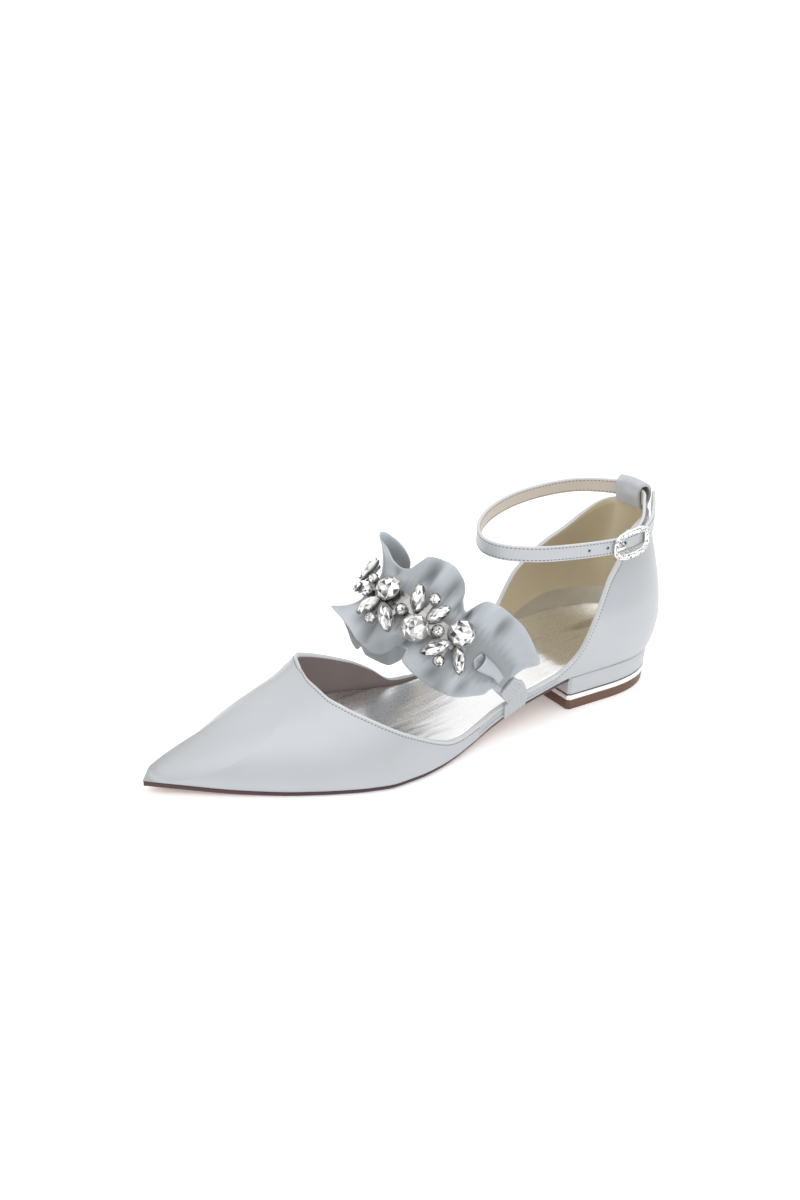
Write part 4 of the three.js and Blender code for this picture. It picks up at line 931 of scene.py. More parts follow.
def add_node(
    tree: bpy.types.NodeTree, kind: str, settings: dict | None = None, **inputs: object
) -> bpy.types.Node:
    """Add a node to a tree.

    Args:
        tree: the node tree.
        kind: the node's type.
        settings: values of the node's own properties.
        inputs: its sockets' values, or the sockets that feed them, by name or as i0, i1.

    Returns:
        The node.
    """
    node = tree.nodes.new(kind)
    for key, value in (settings or {}).items():
        setattr(node, key, value)
    for key, value in inputs.items():
        numbered = key[0] == "i" and key[1:].isdigit()
        socket = node.inputs[int(key[1:]) if numbered else key.replace("_", " ")]
        if isinstance(value, bpy.types.NodeSocket):
            tree.links.new(value, socket)
        else:
            socket.default_value = value
    return node


class Group:
    """A shader node group with named inputs and outputs."""

    def __init__(self, name: str, inputs: dict[str, tuple[str, object]], outputs: dict[str, str]) -> None:
        """Make an empty group.

        Args:
            name: the effect's name.
            inputs: each input's socket type and default.
            outputs: each output's socket type.
        """
        self.tree = bpy.data.node_groups.new(name, "ShaderNodeTree")
        for label, (kind, default) in inputs.items():
            socket = self.tree.interface.new_socket(label, in_out="INPUT", socket_type=kind)
            if default is not None:
                socket.default_value = default
        for label, kind in outputs.items():
            self.tree.interface.new_socket(label, in_out="OUTPUT", socket_type=kind)
        self.inputs = self.tree.nodes.new("NodeGroupInput").outputs
        self.outputs = self.tree.nodes.new("NodeGroupOutput").inputs

    def add(self, kind: str, settings: dict | None = None, **inputs: object) -> bpy.types.Node:
        """Add a node to the group."""
        return add_node(self.tree, kind, settings, **inputs)

    def put(self, name: str, socket: bpy.types.NodeSocket) -> None:
        """Feed one of the group's outputs."""
        self.tree.links.new(socket, self.outputs[name])

    def use(self, shader: Shader, **inputs: object) -> bpy.types.Node:
        """Place the group in a material with its own values."""
        return shader.add("ShaderNodeGroup", {"node_tree": self.tree}, **inputs)


def weave_group() -> Group:
    """Return the weave of satin: long warp floats over fine weft, and slubs among them.

    Returns:
        The group.
    """
    group = Group(
        "satin_weave",
        {"Cloth": ("NodeSocketVector", None), "Threads": ("NodeSocketFloat", 3.2)},
        {"Height": "NodeSocketFloat", "Slub": "NodeSocketFloat"},
    )
    scaled = group.add("ShaderNodeVectorMath", {"operation": "SCALE"}, i0=group.inputs["Cloth"])
    group.tree.links.new(group.inputs["Threads"], scaled.inputs["Scale"])
    warp = group.add("ShaderNodeTexWave", {"wave_type": "BANDS", "bands_direction": "Y"},
                     Vector=scaled.outputs[0], Scale=0.5, Distortion=0.6, Detail=1.0)
    weft = group.add("ShaderNodeTexWave", {"wave_type": "BANDS", "bands_direction": "X"},
                     Vector=scaled.outputs[0], Scale=0.22, Distortion=0.4, Detail=1.0)
    both = group.add("ShaderNodeMath", {"operation": "MULTIPLY"},
                     i0=warp.outputs["Fac"], i1=weft.outputs["Fac"])
    long = group.add("ShaderNodeVectorMath", {"operation": "MULTIPLY"},
                     i0=scaled.outputs[0], i1=(0.04, 0.6, 1.0))
    slub = group.add("ShaderNodeTexNoise", Vector=long.outputs[0], Scale=1.0, Detail=2.0)
    group.put("Height", both.outputs[0])
    group.put("Slub", slub.outputs["Fac"])
    return group


def grain_group() -> Group:
    """Return the grain of leather: small cells with creases between them.

    Returns:
        The group.
    """
    group = Group(
        "leather_grain",
        {"Vector": ("NodeSocketVector", None), "Cells": ("NodeSocketFloat", 1400.0)},
        {"Height": "NodeSocketFloat"},
    )
    warp = group.add("ShaderNodeTexNoise", Vector=group.inputs["Vector"], Scale=260.0, Detail=2.0)
    bent = group.add("ShaderNodeVectorMath", {"operation": "MULTIPLY_ADD"}, i0=warp.outputs["Color"],
                     i1=(0.0012, 0.0012, 0.0012), i2=group.inputs["Vector"])
    cells = group.add("ShaderNodeTexVoronoi", {"feature": "SMOOTH_F1"}, Vector=bent.outputs[0],
                      Scale=group.inputs["Cells"])
    group.put("Height", cells.outputs["Distance"])
    return group


def streak_group() -> Group:
    """Return soft streaks that run along the shoe: creases in a stretched foil, and the painted reflections
    along them.

    Returns:
        The group.
    """
    group = Group("foil_streaks", {"Vector": ("NodeSocketVector", None)}, {"Streak": "NodeSocketFloat"})
    long = group.add("ShaderNodeMapping", Vector=group.inputs["Vector"],
                     Rotation=(0, 0, 0.12), Scale=(14.0, 75.0, 30.0))
    streak = group.add("ShaderNodeTexNoise", Vector=long.outputs[0], Scale=1.0, Detail=3.0, Roughness=0.55)
    group.put("Streak", streak.outputs["Fac"])
    return group


@dataclass(frozen=True)
class Satin:
    """Pale satin: a soft broad gloss over a fine weave."""

    name: str
    colour: tuple[float, float, float]
    roughness: float = 0.4
    metallic: float = 0.2
    sheen: float = 0.12
    weave_depth: float = 0.03
    patches: float = 38.0
    uneven: float = 0.06

    def make(self, weave: Group, shade: str = "") -> bpy.types.Material:
        """Return the satin as a material.

        Args:
            weave: the shared weave.
            shade: the attribute of the mesh that holds painted shade and painted highlight for its folds, if
                it has one.

        Returns:
            The material.
        """
        shader = Shader(self.name, Sheen_Weight=self.sheen, Sheen_Roughness=0.4, Metallic=self.metallic)
        threads = weave.use(shader, Cloth=shader.cloth)
        tone = shader.spread(shader.mottle(self.patches, 2.0), 0.96, 1.04)
        # The shade attribute scales the colour with painted shade and painted highlight on the mesh's folds.
        if shade:
            fold = shader.add("ShaderNodeAttribute", {"attribute_name": shade})
            both = shader.add("ShaderNodeMath", {"operation": "MULTIPLY"}, i0=tone, i1=fold.outputs["Fac"])
            tone = both.outputs[0]
        shader.tint(self.colour, tone)
        shader.roughen(threads.outputs["Slub"], self.roughness - self.uneven, self.roughness + self.uneven)
        shader.bump(threads.outputs["Height"], 0.2, self.weave_depth)
        return shader.material


@dataclass(frozen=True)
class Leather:
    """Grained leather, fibre or rubber."""

    name: str
    colour: tuple[float, float, float]
    metallic: float
    roughness: float
    cells: float = 1400.0
    depth: float = 0.05
    patches: float = 60.0
    uneven: float = 0.05

    def make(self, grain: Group) -> bpy.types.Material:
        """Return the leather as a material.

        Args:
            grain: the grain's group.

        Returns:
            The material.
        """
        shader = Shader(self.name, Metallic=self.metallic)
        cells = grain.use(shader, Vector=shader.object, Cells=self.cells)
        soft = shader.mottle(self.patches, 3.0)
        shader.tint(self.colour, shader.spread(soft, 0.92, 1.06))
        shader.roughen(soft, self.roughness - self.uneven, self.roughness + self.uneven)
        shader.bump(cells.outputs["Height"], 0.5, self.depth)
        return shader.material


@dataclass(frozen=True)
class Foil:
    """Silver foil on soft leather: bright, finely grained and creased along the shoe, with painted
    reflections that darken it in streaks.
    """

    name: str
    colour: tuple[float, float, float]
    roughness: float = 0.24
    crease: float = 1.6
    # How dark the painted reflections make the foil in its streaks.
    dark: float = 0.45
    metallic: float = 0.95
    cells: float = 1700.0
    uneven: float = 0.12

    def make(self, grain: Group, streaks: Group) -> bpy.types.Material:
        """Return the foil as a material.

        Args:
            grain: the grain's group.
            streaks: the streaks' group.

        Returns:
            The material.
        """
        shader = Shader(self.name, Metallic=self.metallic)
        cells = grain.use(shader, Vector=shader.object, Cells=self.cells)
        streak = streaks.use(shader, Vector=shader.object)
        # The streaks darken the foil's colour as painted reflections; their bump below is the real crease.
        shade = shader.add("ShaderNodeMapRange", Value=streak.outputs["Streak"], From_Min=0.34, From_Max=0.48,
                           To_Min=self.dark, To_Max=1.0)
        shader.tint(self.colour, shade.outputs[0])
        shader.roughen(cells.outputs["Height"], self.roughness, self.roughness + self.uneven)
        shader.bump(streak.outputs["Streak"], 0.5, self.crease)
        shader.bump(cells.outputs["Height"], 0.3, 0.04)
        return shader.material


@dataclass(frozen=True)
class Metal:
    """A hard bright metal with fine scratches."""

    name: str
    colour: tuple[float, float, float]
    roughness: float
    scratches: float = 900.0

    def make(self) -> bpy.types.Material:
        """Return the metal as a material.

        Returns:
            The material.
        """
        shader = Shader(self.name, Metallic=1.0)
        soft = shader.mottle(self.scratches, 2.0)
        shader.tint(self.colour, shader.spread(soft, 0.9, 1.05))
        shader.roughen(soft, self.roughness * 0.7, self.roughness * 1.4)
        return shader.material


# Painted reflections for the stones' facets, bright to dark; each facet takes one at random.
PAINTED_FACET_REFLECTIONS = (
    (0.98, 0.98, 0.97), (0.98, 0.98, 0.99), (0.95, 0.95, 0.94), (0.98, 0.97, 0.95), (0.92, 0.92, 0.93),
    (0.80, 0.80, 0.79), (0.70, 0.69, 0.66), (0.55, 0.55, 0.55), (0.38, 0.37, 0.36), (0.16, 0.16, 0.17),
    (0.07, 0.07, 0.08),
)


@dataclass(frozen=True)
class Crystal:
    """A cut stone: each facet carries a painted reflection, a random shade that stands for its own part of
    the foil behind it.
    """

    name: str
    metallic: float = 0.55
    roughness: float = 0.08

    def make(self) -> bpy.types.Material:
        """Return the stone as a material that reads each facet's painted reflection.

        Returns:
            The material.
        """
        shader = Shader(self.name, Metallic=self.metallic, Roughness=self.roughness,
                        Coat_Weight=1.0, Coat_Roughness=0.02)
        facet = shader.add("ShaderNodeAttribute", {"attribute_name": "facet"})
        shader.link(facet.outputs["Color"], "Base Color")
        return shader.material


class Finishes:
    """Every finish on the shoe, made once."""

    def __init__(self) -> None:
        """Make the shared effects and the materials that use them."""
        weave, grain, streaks = weave_group(), grain_group(), streak_group()
        self.satin = Satin("satin", (0.505, 0.525, 0.548)).make(weave)
        # A darker copy of the upper's satin for the frill and its roll: the darkening is painted shade of the
        # frill's folds.
        folded = (0.44, 0.475, 0.505)
        # The ruffle's fold attribute adds painted shade and painted highlight to its folds.
        self.ruffle = Satin("ruffle_satin", folded, roughness=0.46).make(weave, "fold")
        self.roll = Satin("roll_satin", folded, roughness=0.46).make(weave)
        # Paler satin on the rolled top edges, the strap's edges and the roll's ends: partly a pale bound
        # edge, partly a painted highlight on its fold.
        self.rim = Satin("satin_pale_edge_and_painted_highlight", (0.60, 0.615, 0.63), roughness=0.45, metallic=0.1).make(weave)
        # Near-black satin for the grooves between the waist strip's bands and at its foot: painted shade in
        # the grooves.
        self.painted_groove_shade = Satin("satin_groove", (0.10, 0.105, 0.115), roughness=0.6, metallic=0.0).make(weave)
        self.thread = Satin("thread", (0.10, 0.105, 0.115), roughness=0.6, metallic=0.0).make(weave)
        self.taupe = Leather("vamp_lining", (0.30, 0.245, 0.235), 0.0, 0.5, depth=0.09).make(grain)
        self.gold = Leather("counter_lining", (0.66, 0.57, 0.40), 0.25, 0.38, depth=0.03).make(grain)
        self.strap_lining = Leather("strap_lining", (0.72, 0.65, 0.56), 0.0, 0.5).make(grain)
        self.sock = Foil("silver_sock", (0.93, 0.93, 0.93)).make(grain, streaks)
        heel_foil = Foil("silver_heel_lining", (0.72, 0.69, 0.62), roughness=0.3, dark=0.8)
        self.heel_sock = heel_foil.make(grain, streaks)
        self.sole = Leather("sole", (0.33, 0.17, 0.10), 0.0, 0.45).make(grain)
        self.sole_edge = Leather("sole_edge", (0.075, 0.035, 0.04), 0.0, 0.35).make(grain)
        self.lift = Leather("heel_lift", (0.145, 0.07, 0.042), 0.0, 0.42).make(grain)
        self.silver = Metal("silver", (0.95, 0.945, 0.935), 0.13).make()
        self.claw = Metal("dark_claw", (0.36, 0.355, 0.345), 0.22).make()
        self.dark = Metal("dark_line", (0.05, 0.05, 0.055), 0.4).make()
        self.crystal = Crystal("crystal").make()


class UpperSide(Enum):
    """The finishes on the upper, by their index."""

    SATIN = 0
    VAMP_LINING = 1
    COUNTER_LINING = 2
    SOCK_LINING = 3
    RIM = 4
    # Near-black rows: painted shade in the waist strip's grooves.
    PAINTED_GROOVE_SHADE = 5


@dataclass
class Upper:
    """The hollow satin upper: vamp, waist strips and counter in one wall."""

    last: Last
    finishes: Finishes
    fine: int = 4
    outside_rows: int = 24
    inside_rows: int = 22
    rim_width: float = 1.0
    rim_proud: float = 0.25
    stitch_inset: float = 1.55
    panel_proud: float = 0.45
    counter_edge: float = 0.27
    vamp_edge: float = 0.452
    band_proud: float = 0.75
    grip_height: float = 14.0
    rim_drops: tuple[float, ...] = (2.6, 2.2, 1.7, 1.3, 1.0, 0.8, 0.4, 0.1)

    def proud(self, station: Station, level: float, drop: float) -> float:
        """Return how far the outer face stands out of the last.

        Args:
            station: the place on the seam.
            level: 0 at the seam and 1 at the top edge.
            drop: how far the place lies under the top edge.

        Returns:
            The distance, in millimetres.
        """
        along, soft = station.along, 0.0006
        rear = 1 - ease(self.counter_edge - soft, self.counter_edge + soft, along)
        fore = ease(self.vamp_edge - soft, self.vamp_edge + soft, along)
        if station.tip:
            rear, fore = 0.0, 1.0
        panel = max(rear, fore)
        band = abs(math.sin(3 * math.pi * level)) ** 0.6 * self.band_proud
        rim = self.rim_proud * (1 - ease(self.rim_width - 0.2, self.rim_width + 0.35, drop))
        return mix(band, self.panel_proud + rim, panel) * ease(0, 0.02, level) * ease(-0.01, 0.3, drop + 0.1)

    def levels(self, station: Station) -> list[tuple[float, float, int]]:
        """Return the wall's section at a station, once round.

        Args:
            station: the place on the seam.

        Returns:
            The level, the inset and the finish of each point.
        """
        last = self.last
        marks = [last.point(station, i / 12, 0) for i in range(13)]
        height = sum((b - a).length for a, b in zip(marks, marks[1:]))
        foot = 1 - min(3.0 / height, 0.5)
        rows = []
        for i in range(self.outside_rows + 1):
            level = foot * i / self.outside_rows
            waist = self.counter_edge < station.along < self.vamp_edge
            # Rows at the waist strip's grooves take the near-black satin as painted shade.
            painted_groove_shade = waist and min(abs(level - mark) for mark in (0.012, 1 / 3, 2 / 3)) < 0.012
            kind = UpperSide.PAINTED_GROOVE_SHADE if painted_groove_shade else UpperSide.SATIN
            rows.append((level, -self.proud(station, level, (1 - level) * height), kind.value))
        squeeze = min(height / 2 / self.rim_drops[0], 1)
        for drop in self.rim_drops:
            level = 1 - drop * squeeze / height
            kind = UpperSide.RIM if drop <= self.rim_width else UpperSide.SATIN
            rows.append((level, -self.proud(station, level, drop), kind.value))
        rows += [(1.0, depth * WALL, UpperSide.RIM.value) for depth in (0.12, 0.5, 0.88)]
        vamp = station.along >= VAMP_FROM
        share = 0.5 if vamp else min(self.grip(station.along) / height, 0.92)
        for i in range(self.inside_rows + 1):
            t = 1 - i / self.inside_rows
            level = share * t * 2 if t < 0.5 else share + (1 - share) * (t - 0.5) * 2
            upper = UpperSide.VAMP_LINING if vamp else UpperSide.COUNTER_LINING
            kind = upper if vamp or t > 0.5 else UpperSide.SOCK_LINING
            rows.append((min(level, 1 - 0.15 / height), WALL, kind.value))
        return rows

    def grip(self, along: float) -> float:
        """Return the height of the seam between the two linings in the heel."""
        return self.grip_height * (1 - 0.75 * ease(0.12, 0.28, along))

    def build(self) -> list[bpy.types.Object]:
        """Build the wall and its stitches.

        Returns:
            The pieces.
        """
        extra = tuple(edge + step for edge in (self.counter_edge, self.vamp_edge)
                      for step in (-0.0007, 0.0007))
        ring = self.last.ring(self.fine, extra)
        sections = [self.levels(station) for station in ring]
        fin = self.finishes
        wall = Piece("upper_wall", "satin",
                     [fin.satin, fin.taupe, fin.gold, fin.heel_sock, fin.rim, fin.painted_groove_shade])
        wall.grid(len(ring), len(sections[0]), lambda r, c: self.last.point(ring[r], *sections[r][c][:2]),
                  lambda r, c: sections[r % len(ring)][c][2], wrap_rows=True, wrap_columns=True)
        made = [wall.done("upper")]
        thread = Piece("upper_stitches", "satin", [fin.thread])
        Stitching().sew(thread, self.edge_line(ring))
        made.append(thread.done())
        return made

    def skin(self, station: Station, drop: float) -> Vector:
        """Return the outer face's point at a drop under the top edge.

        Args:
            station: the station.
            drop: the drop under the edge.

        Returns:
            The point, in millimetres.
        """
        marks = [self.last.point(station, i / 12, 0) for i in range(13)]
        height = sum((b - a).length for a, b in zip(marks, marks[1:]))
        level = 1 - drop * min(height / 2 / self.rim_drops[0], 1) / height
        return self.last.point(station, level, -self.proud(station, level, drop))

    def edge_line(self, ring: list[Station]) -> list[tuple[Vector, Vector]]:
        """Return the line under the top edge that the stitches follow.

        Args:
            ring: the stations.

        Returns:
            Its points, each with a way out.
        """
        upper = [self.skin(station, self.stitch_inset - 0.4) for station in ring]
        lower = [self.skin(station, self.stitch_inset + 0.4) for station in ring]
        line = []
        for i, station in enumerate(ring):
            middle = (upper[i] + lower[i]) / 2
            ahead = (upper[(i + 1) % len(ring)] - upper[i - 1])
            out = ahead.cross(lower[i] - upper[i]).normalized()
            inside = self.last.point(station, 0.9, WALL)
            line.append((middle, out if out.dot(middle - inside) > 0 else -out))
        return line + line[:1]


@dataclass
class Sole:
    """The thin outsole and the low block heel with its band and lift."""

    last: Last
    finishes: Finishes
    thickness: float = 2.0
    inset: float = 0.6
    lift_height: float = 4.7
    band_height: float = 2.4
    band_proud: float = 0.35
    taper: float = 0.97
    corner: float = 1.2
    fine: int = 4

    def build(self) -> list[bpy.types.Object]:
        """Build the sole and the heel's three layers.

        Returns:
            The pieces.
        """
        band_top = self.lift_height + self.band_height
        fin = self.finishes
        return [
            self.outsole(),
            self.layer("heel_lift_body", "lift", fin.lift, 0, self.lift_height, 0, "heel_lift"),
            self.layer("heel_band_ring", "silver", fin.silver, self.lift_height, band_top,
                       self.band_proud, "heel_band"),
            self.layer("heel_shadow_line", "claw", fin.dark, band_top, band_top + 0.45, -0.1),
            self.layer("heel_block_body", "satin", fin.satin, band_top + 0.35, SEAT_HEIGHT - GAP,
                       0, "heel_block"),
        ]

    def outsole(self) -> bpy.types.Object:
        """Build the sole from the breast to the toe, with a dark edge.

        Returns:
            The piece.
        """
        stations = [mix(BREAST + GAP / SHOE_LENGTH, 0.998, i / 160) for i in range(161)]
        section = [(1, 0.3), (1, 0.75), (0.985, 1), (0.5, 1), (0, 1), (-0.5, 1), (-0.985, 1), (-1, 0.75),
                   (-1, 0.3), (-0.98, 0), (-0.5, 0), (0, 0), (0.5, 0), (0.98, 0)]

        def place(r: int, c: int) -> Vector:
            """Return the sole's point at a station and a place of its section.

            Args:
                r: the row.
                c: the column.

            Returns:
                The point, in millimetres.
            """
            along = stations[r]
            outer = self.last.edge[1](along) * BALL_WIDTH - self.inset
            inner = self.last.edge[-1](along) * BALL_WIDTH + self.inset
            top = self.last.seam_height(along) - GAP
            bottom = max(top - self.thickness, 0)
            across, up = section[c]
            half = max((outer - inner) / 2, GAP)
            return Vector((along * SHOE_LENGTH, (outer + inner) / 2 + half * across, mix(bottom, top, up)))

        piece = Piece("sole_plate", "sole", [self.finishes.sole, self.finishes.sole_edge])
        piece.grid(len(stations) - 1, len(section), place, lambda r, c: 1 if c in (0, 1, 6, 7, 8, 13) else 0,
                   wrap_columns=True, caps=True)
        return piece.done("outsole")

    def outline(self, taper: float, overhang: float) -> list[Vector]:
        """Return the heel's outline, narrowed by a taper and grown by an overhang.

        Args:
            taper: the taper.
            overhang: how far it stands out.

        Returns:
            The outline's points.
        """
        breast = BREAST * SHOE_LENGTH
        count = 8 * self.fine
        turns = [math.pi / 2 * i / count for i in range(count + 1)]
        halves = []
        for side in (1, -1):
            points = [self.last.seam_point(self.last.heel_along(turn), side, turn) for turn in turns]
            points.append(self.last.seam_point(BREAST - self.corner / SHOE_LENGTH, side))
            points.append(self.last.seam_point(BREAST, side))
            points[-1].y -= side * self.corner
            halves.append(points)
        outline = []
        for point in halves[0] + halves[1][1:][::-1]:
            spot = Vector((breast - (breast - point.x) * taper, point.y * taper, 0))
            rim = Vector((spot.x - HEEL_MIDDLE, spot.y, 0)).normalized() * overhang
            outline.append(spot + rim)
        return outline

    def layer(
        self, name: str, slot: str, finish: bpy.types.Material, low: float, high: float,
        proud: float, *nodes: str
    ) -> bpy.types.Object:
        """Build one layer of the heel.

        Args:
            name: the piece's name.
            slot: the name of its material slot, which the piece keeps but does not use.
            finish: its material.
            low: its bottom over the floor.
            high: its top.
            proud: how far it stands out of its neighbours.
            nodes: the solids that it stands for.

        Returns:
            The layer's object.
        """
        piece = Piece(name, slot, [finish])
        outlines = [self.outline(mix(self.taper, 1, z / SEAT_HEIGHT), proud) for z in (low, high)]
        piece.grid(1, len(outlines[0]), lambda r, c: outlines[r][c] + Vector((0, 0, (low, high)[r])),
                   wrap_columns=True, caps=True)
        rims = [e for e in piece.mesh.edges
                if abs(e.verts[0].co.z - e.verts[1].co.z) < 1e-6 and len(e.link_faces) == 2]
        bmesh.ops.bevel(piece.mesh, geom=rims, offset=min(0.35, (high - low) / 4) * MM, offset_type="OFFSET",
                        segments=3, profile=0.5, affect="EDGES", material=-1, clamp_overlap=True)
        return piece.done(*nodes, modifiers=[("EDGE_SPLIT", {"split_angle": math.radians(35)})])


@dataclass
class Insole:
    """The padded silver sock on its board."""

    last: Last
    finishes: Finishes
    thickness: float = 5.4
    cup: float = 0.9
    clearance: float = 0.45
    toe_thickness: float = 2.0
    end: float = 0.93
    columns: int = 40

    def build(self) -> list[bpy.types.Object]:
        """Build the sock from the heel's round to the toe.

        Returns:
            The pieces.
        """
        fine = self.last.side_stations(1, 4)
        alongs = [s.along for s in fine[1:] if s.along < self.end]
        ring = self.last.ring(4)
        count = self.columns

        def place(r: int, c: int) -> Vector:
            """Return the sock's point: its top across the shoe, then its underside.

            Args:
                r: the row.
                c: the column.

            Returns:
                The point, in millimetres.
            """
            along = alongs[r]
            outer, inner = ring[r + 1], ring[len(ring) - 1 - r]
            thin = ease(0.5, self.end, along)
            rim = self.cup * (1 - ease(0.14, 0.29, along))
            edge = mix(self.thickness + rim, self.toe_thickness, thin)
            ends = [self.last.side_point(s, edge, WALL + self.clearance) for s in (outer, inner)]
            feet = [self.last.side_point(s, 0, WALL + self.clearance) for s in (outer, inner)]
            if c > count:
                return feet[1] if c == count + 1 else feet[0]
            share = 0.5 - 0.5 * math.cos(math.pi * c / count)
            dip = self.cup * (1 - ease(0.14, 0.44, along))
            bowl = 1 - abs(2 * share - 1) ** 4
            roll = 0.9 * abs(2 * share - 1) ** 40
            return ends[0].lerp(ends[1], share) - Vector((0, 0, dip * bowl + roll))

        piece = Piece("insole_sock", "sock", [self.finishes.sock])
        piece.grid(len(alongs) - 1, count + 3, place, wrap_columns=True, caps=True)
        sock = piece.done("insole", modifiers=[("EDGE_SPLIT", {"split_angle": math.radians(60)})])
        return [sock]


@dataclass
class AnkleStrap:
    """The ankle strap, the loop that holds it and its stone-set buckle."""

    last: Last
    finishes: Finishes
    tail_tip: float = 0.975
    steps: int = 336
    hole_pitch: float = 9.3
    prong_hole: float = 1.3
    punched_hole: float = 0.62
    loop_width: float = 16.0
    loop_thickness: float = 1.2
    buckle_length: float = 21.0
    buckle_height: float = 13.5
    rim_width: float = 2.8
    rim_thickness: float = 1.7
    bar_radius: float = 0.7
    prong_radius: float = 0.55
    prong_ahead: float = 3.6
    rim_stones: int = 32
    rim_row: float = 0.62
    rim_stone: tuple[float, float, float] = (0.66, 0.66, 0.55)

    def __post_init__(self) -> None:
        """Lay the strap's route and find the buckle's place on it."""
        self.route = ankle_route()
        end = self.route.frame(0).point
        spots = [self.route.length * 0.7 + 0.25 * i for i in range(int(self.route.length * 1.2))]
        best = min(spots, key=lambda spot: (self.route.frame(spot).point - end).length)
        self.buckle_at = best - self.bar_radius - GAP
        self.rim_out = STRAP_THICKNESS / 2 + GAP + self.rim_thickness / 2
        self.bar_out = -(STRAP_THICKNESS / 2 + GAP + self.bar_radius)

    def build(self) -> list[bpy.types.Object]:
        """Build the strap, the loop and the buckle."""
        return [self.strap(), self.loop(), self.rim(), self.bar(), self.prong()]

    def strap(self) -> bpy.types.Object:
        """Build the strap as satin over a lining, with round edges and its punched holes.

        Returns:
            The piece.
        """
        corner, half, flats = 0.45, STRAP_THICKNESS / 2, 8
        flat = [mix(-1, 1, i / flats) for i in range(flats + 1)]
        bend = [math.pi * i / 6 - math.pi / 2 for i in range(1, 6)]

        def section(width: float) -> list[tuple[float, float]]:
            """Return the strap's section at a width.

            Args:
                width: the width.

            Returns:
                Places across and out.
            """
            edge = width / 2 - corner
            right = [(edge + corner * math.cos(a), half * math.sin(a)) for a in bend]
            return ([(edge * f, -half) for f in flat] + right + [(-edge * f, half) for f in flat]
                    + [(-a, -o) for a, o in right])

        frames = [self.route.frame(self.route.length * r / self.steps) for r in range(self.steps + 1)]

        def place(r: int, c: int) -> Vector:
            """Return the strap's point at a distance and a place of its section.

            Args:
                r: the row.
                c: the column.

            Returns:
                The point, in millimetres.
            """
            tip = max(r / self.steps - self.tail_tip, 0) / (1 - self.tail_tip)
            width = STRAP_HEIGHT * math.sqrt(max(1 - (tip * 0.87) ** 2, 0))
            return frames[r].beside(*section(width)[c])

        fin = self.finishes
        piece = Piece("ankle_strap_band", "satin", [fin.satin, fin.strap_lining, fin.rim, fin.thread])
        upper = flats + 6
        verts = piece.grid(self.steps, 2 * (flats + 6), place,
                           lambda r, c: 1 if c < flats else (0 if upper <= c < upper + flats else 2),
                           wrap_columns=True, caps=True)
        for number in range(3):
            at = self.buckle_at - self.prong_ahead - number * self.hole_pitch
            row = round(at / self.route.length * self.steps)
            half_size, radius = (2, self.prong_hole) if number == 0 else (1, self.punched_hole)
            piece.punch(verts, row, upper + flats // 2, flats // 2, half_size, radius, 3)
        made = piece.done("ankle_strap")
        thread = Piece("ankle_strap_stitches", "satin", [fin.thread])
        for side in (1, -1):
            for face in (1, -1):
                line = []
                for i in range(201):
                    spot = self.route.frame(self.route.length * mix(0.01, 0.97, i / 200))
                    line.append((spot.beside(side * (STRAP_HEIGHT / 2 - 0.95), face * half), spot.out * face))
                Stitching(pitch=1.7, width=0.4, height=0.3).sew(thread, line)
        thread.done()
        return made

    def loop(self) -> bpy.types.Object:
        """Build the folded loop that saddles the counter's edge.

        Returns:
            The piece.
        """
        room, half = STRAP_HEIGHT + 2 * GAP + 1.2, STRAP_THICKNESS / 2 + GAP + 1.2
        rows = ((-1, 0.42), (-1, 0.78), (-0.75, 0.94), (0, 1), (0.75, 0.94), (1, 0.78), (1, 0.42))
        across_count, fine = 24, 6
        count = 10 * fine
        lines = []
        for r in range(across_count + 1):
            across = -0.028 * BALL_WIDTH + self.loop_width * (r / across_count - 0.5)
            station = self.last.back_station(across)
            top = self.last.collar[station.side](station.along) * COUNTER_HEIGHT
            middle = self.last.counter_point(station, top, WALL / 2)
            spots = []
            for height, inset in ((top - 1, WALL + GAP), (top, WALL + GAP), (top, -GAP), (top - 4, -GAP)):
                point = self.last.counter_point(station, height, inset) - middle
                spots.append(Vector((point.dot(station.out), point.z, 0)))
            seat = GAP + SEAT_HEIGHT + COUNTER_HEIGHT - middle.z
            spots[2:2] = [Vector((away * half, seat + rise * room, 0)) for away, rise in rows]
            curve = Route(spots, Vector((0, 0, 1)))
            levels = [curve.frame(k / count * curve.length) for k in range(count + 1)]
            lines.append((middle, station.out, levels))

        def place(r: int, c: int) -> Vector:
            """Return the loop's point: its inside, then its outside.

            Args:
                r: the row.
                c: the column.

            Returns:
                The point, in millimetres.
            """
            middle, out, line = lines[r]
            outside = c > count
            spot = line[2 * count + 1 - c if outside else c]
            shift = self.loop_thickness if outside else 0
            reach, rise = spot.point.x - spot.run.y * shift, spot.point.y + spot.run.x * shift
            return middle + out * reach + Vector((0, 0, rise))

        piece = Piece("heel_loop_fold", "satin", [self.finishes.satin])
        piece.grid(across_count, 2 * count + 2, place, wrap_columns=True, caps=True)
        return piece.done("heel_loop", modifiers=[("EDGE_SPLIT", {"split_angle": math.radians(50)})])

    def place_buckle(self, ahead: float, across: float, out: float) -> Vector:
        """Return a point beside the strap at the buckle."""
        return self.route.frame(self.buckle_at - ahead).beside(across, out)

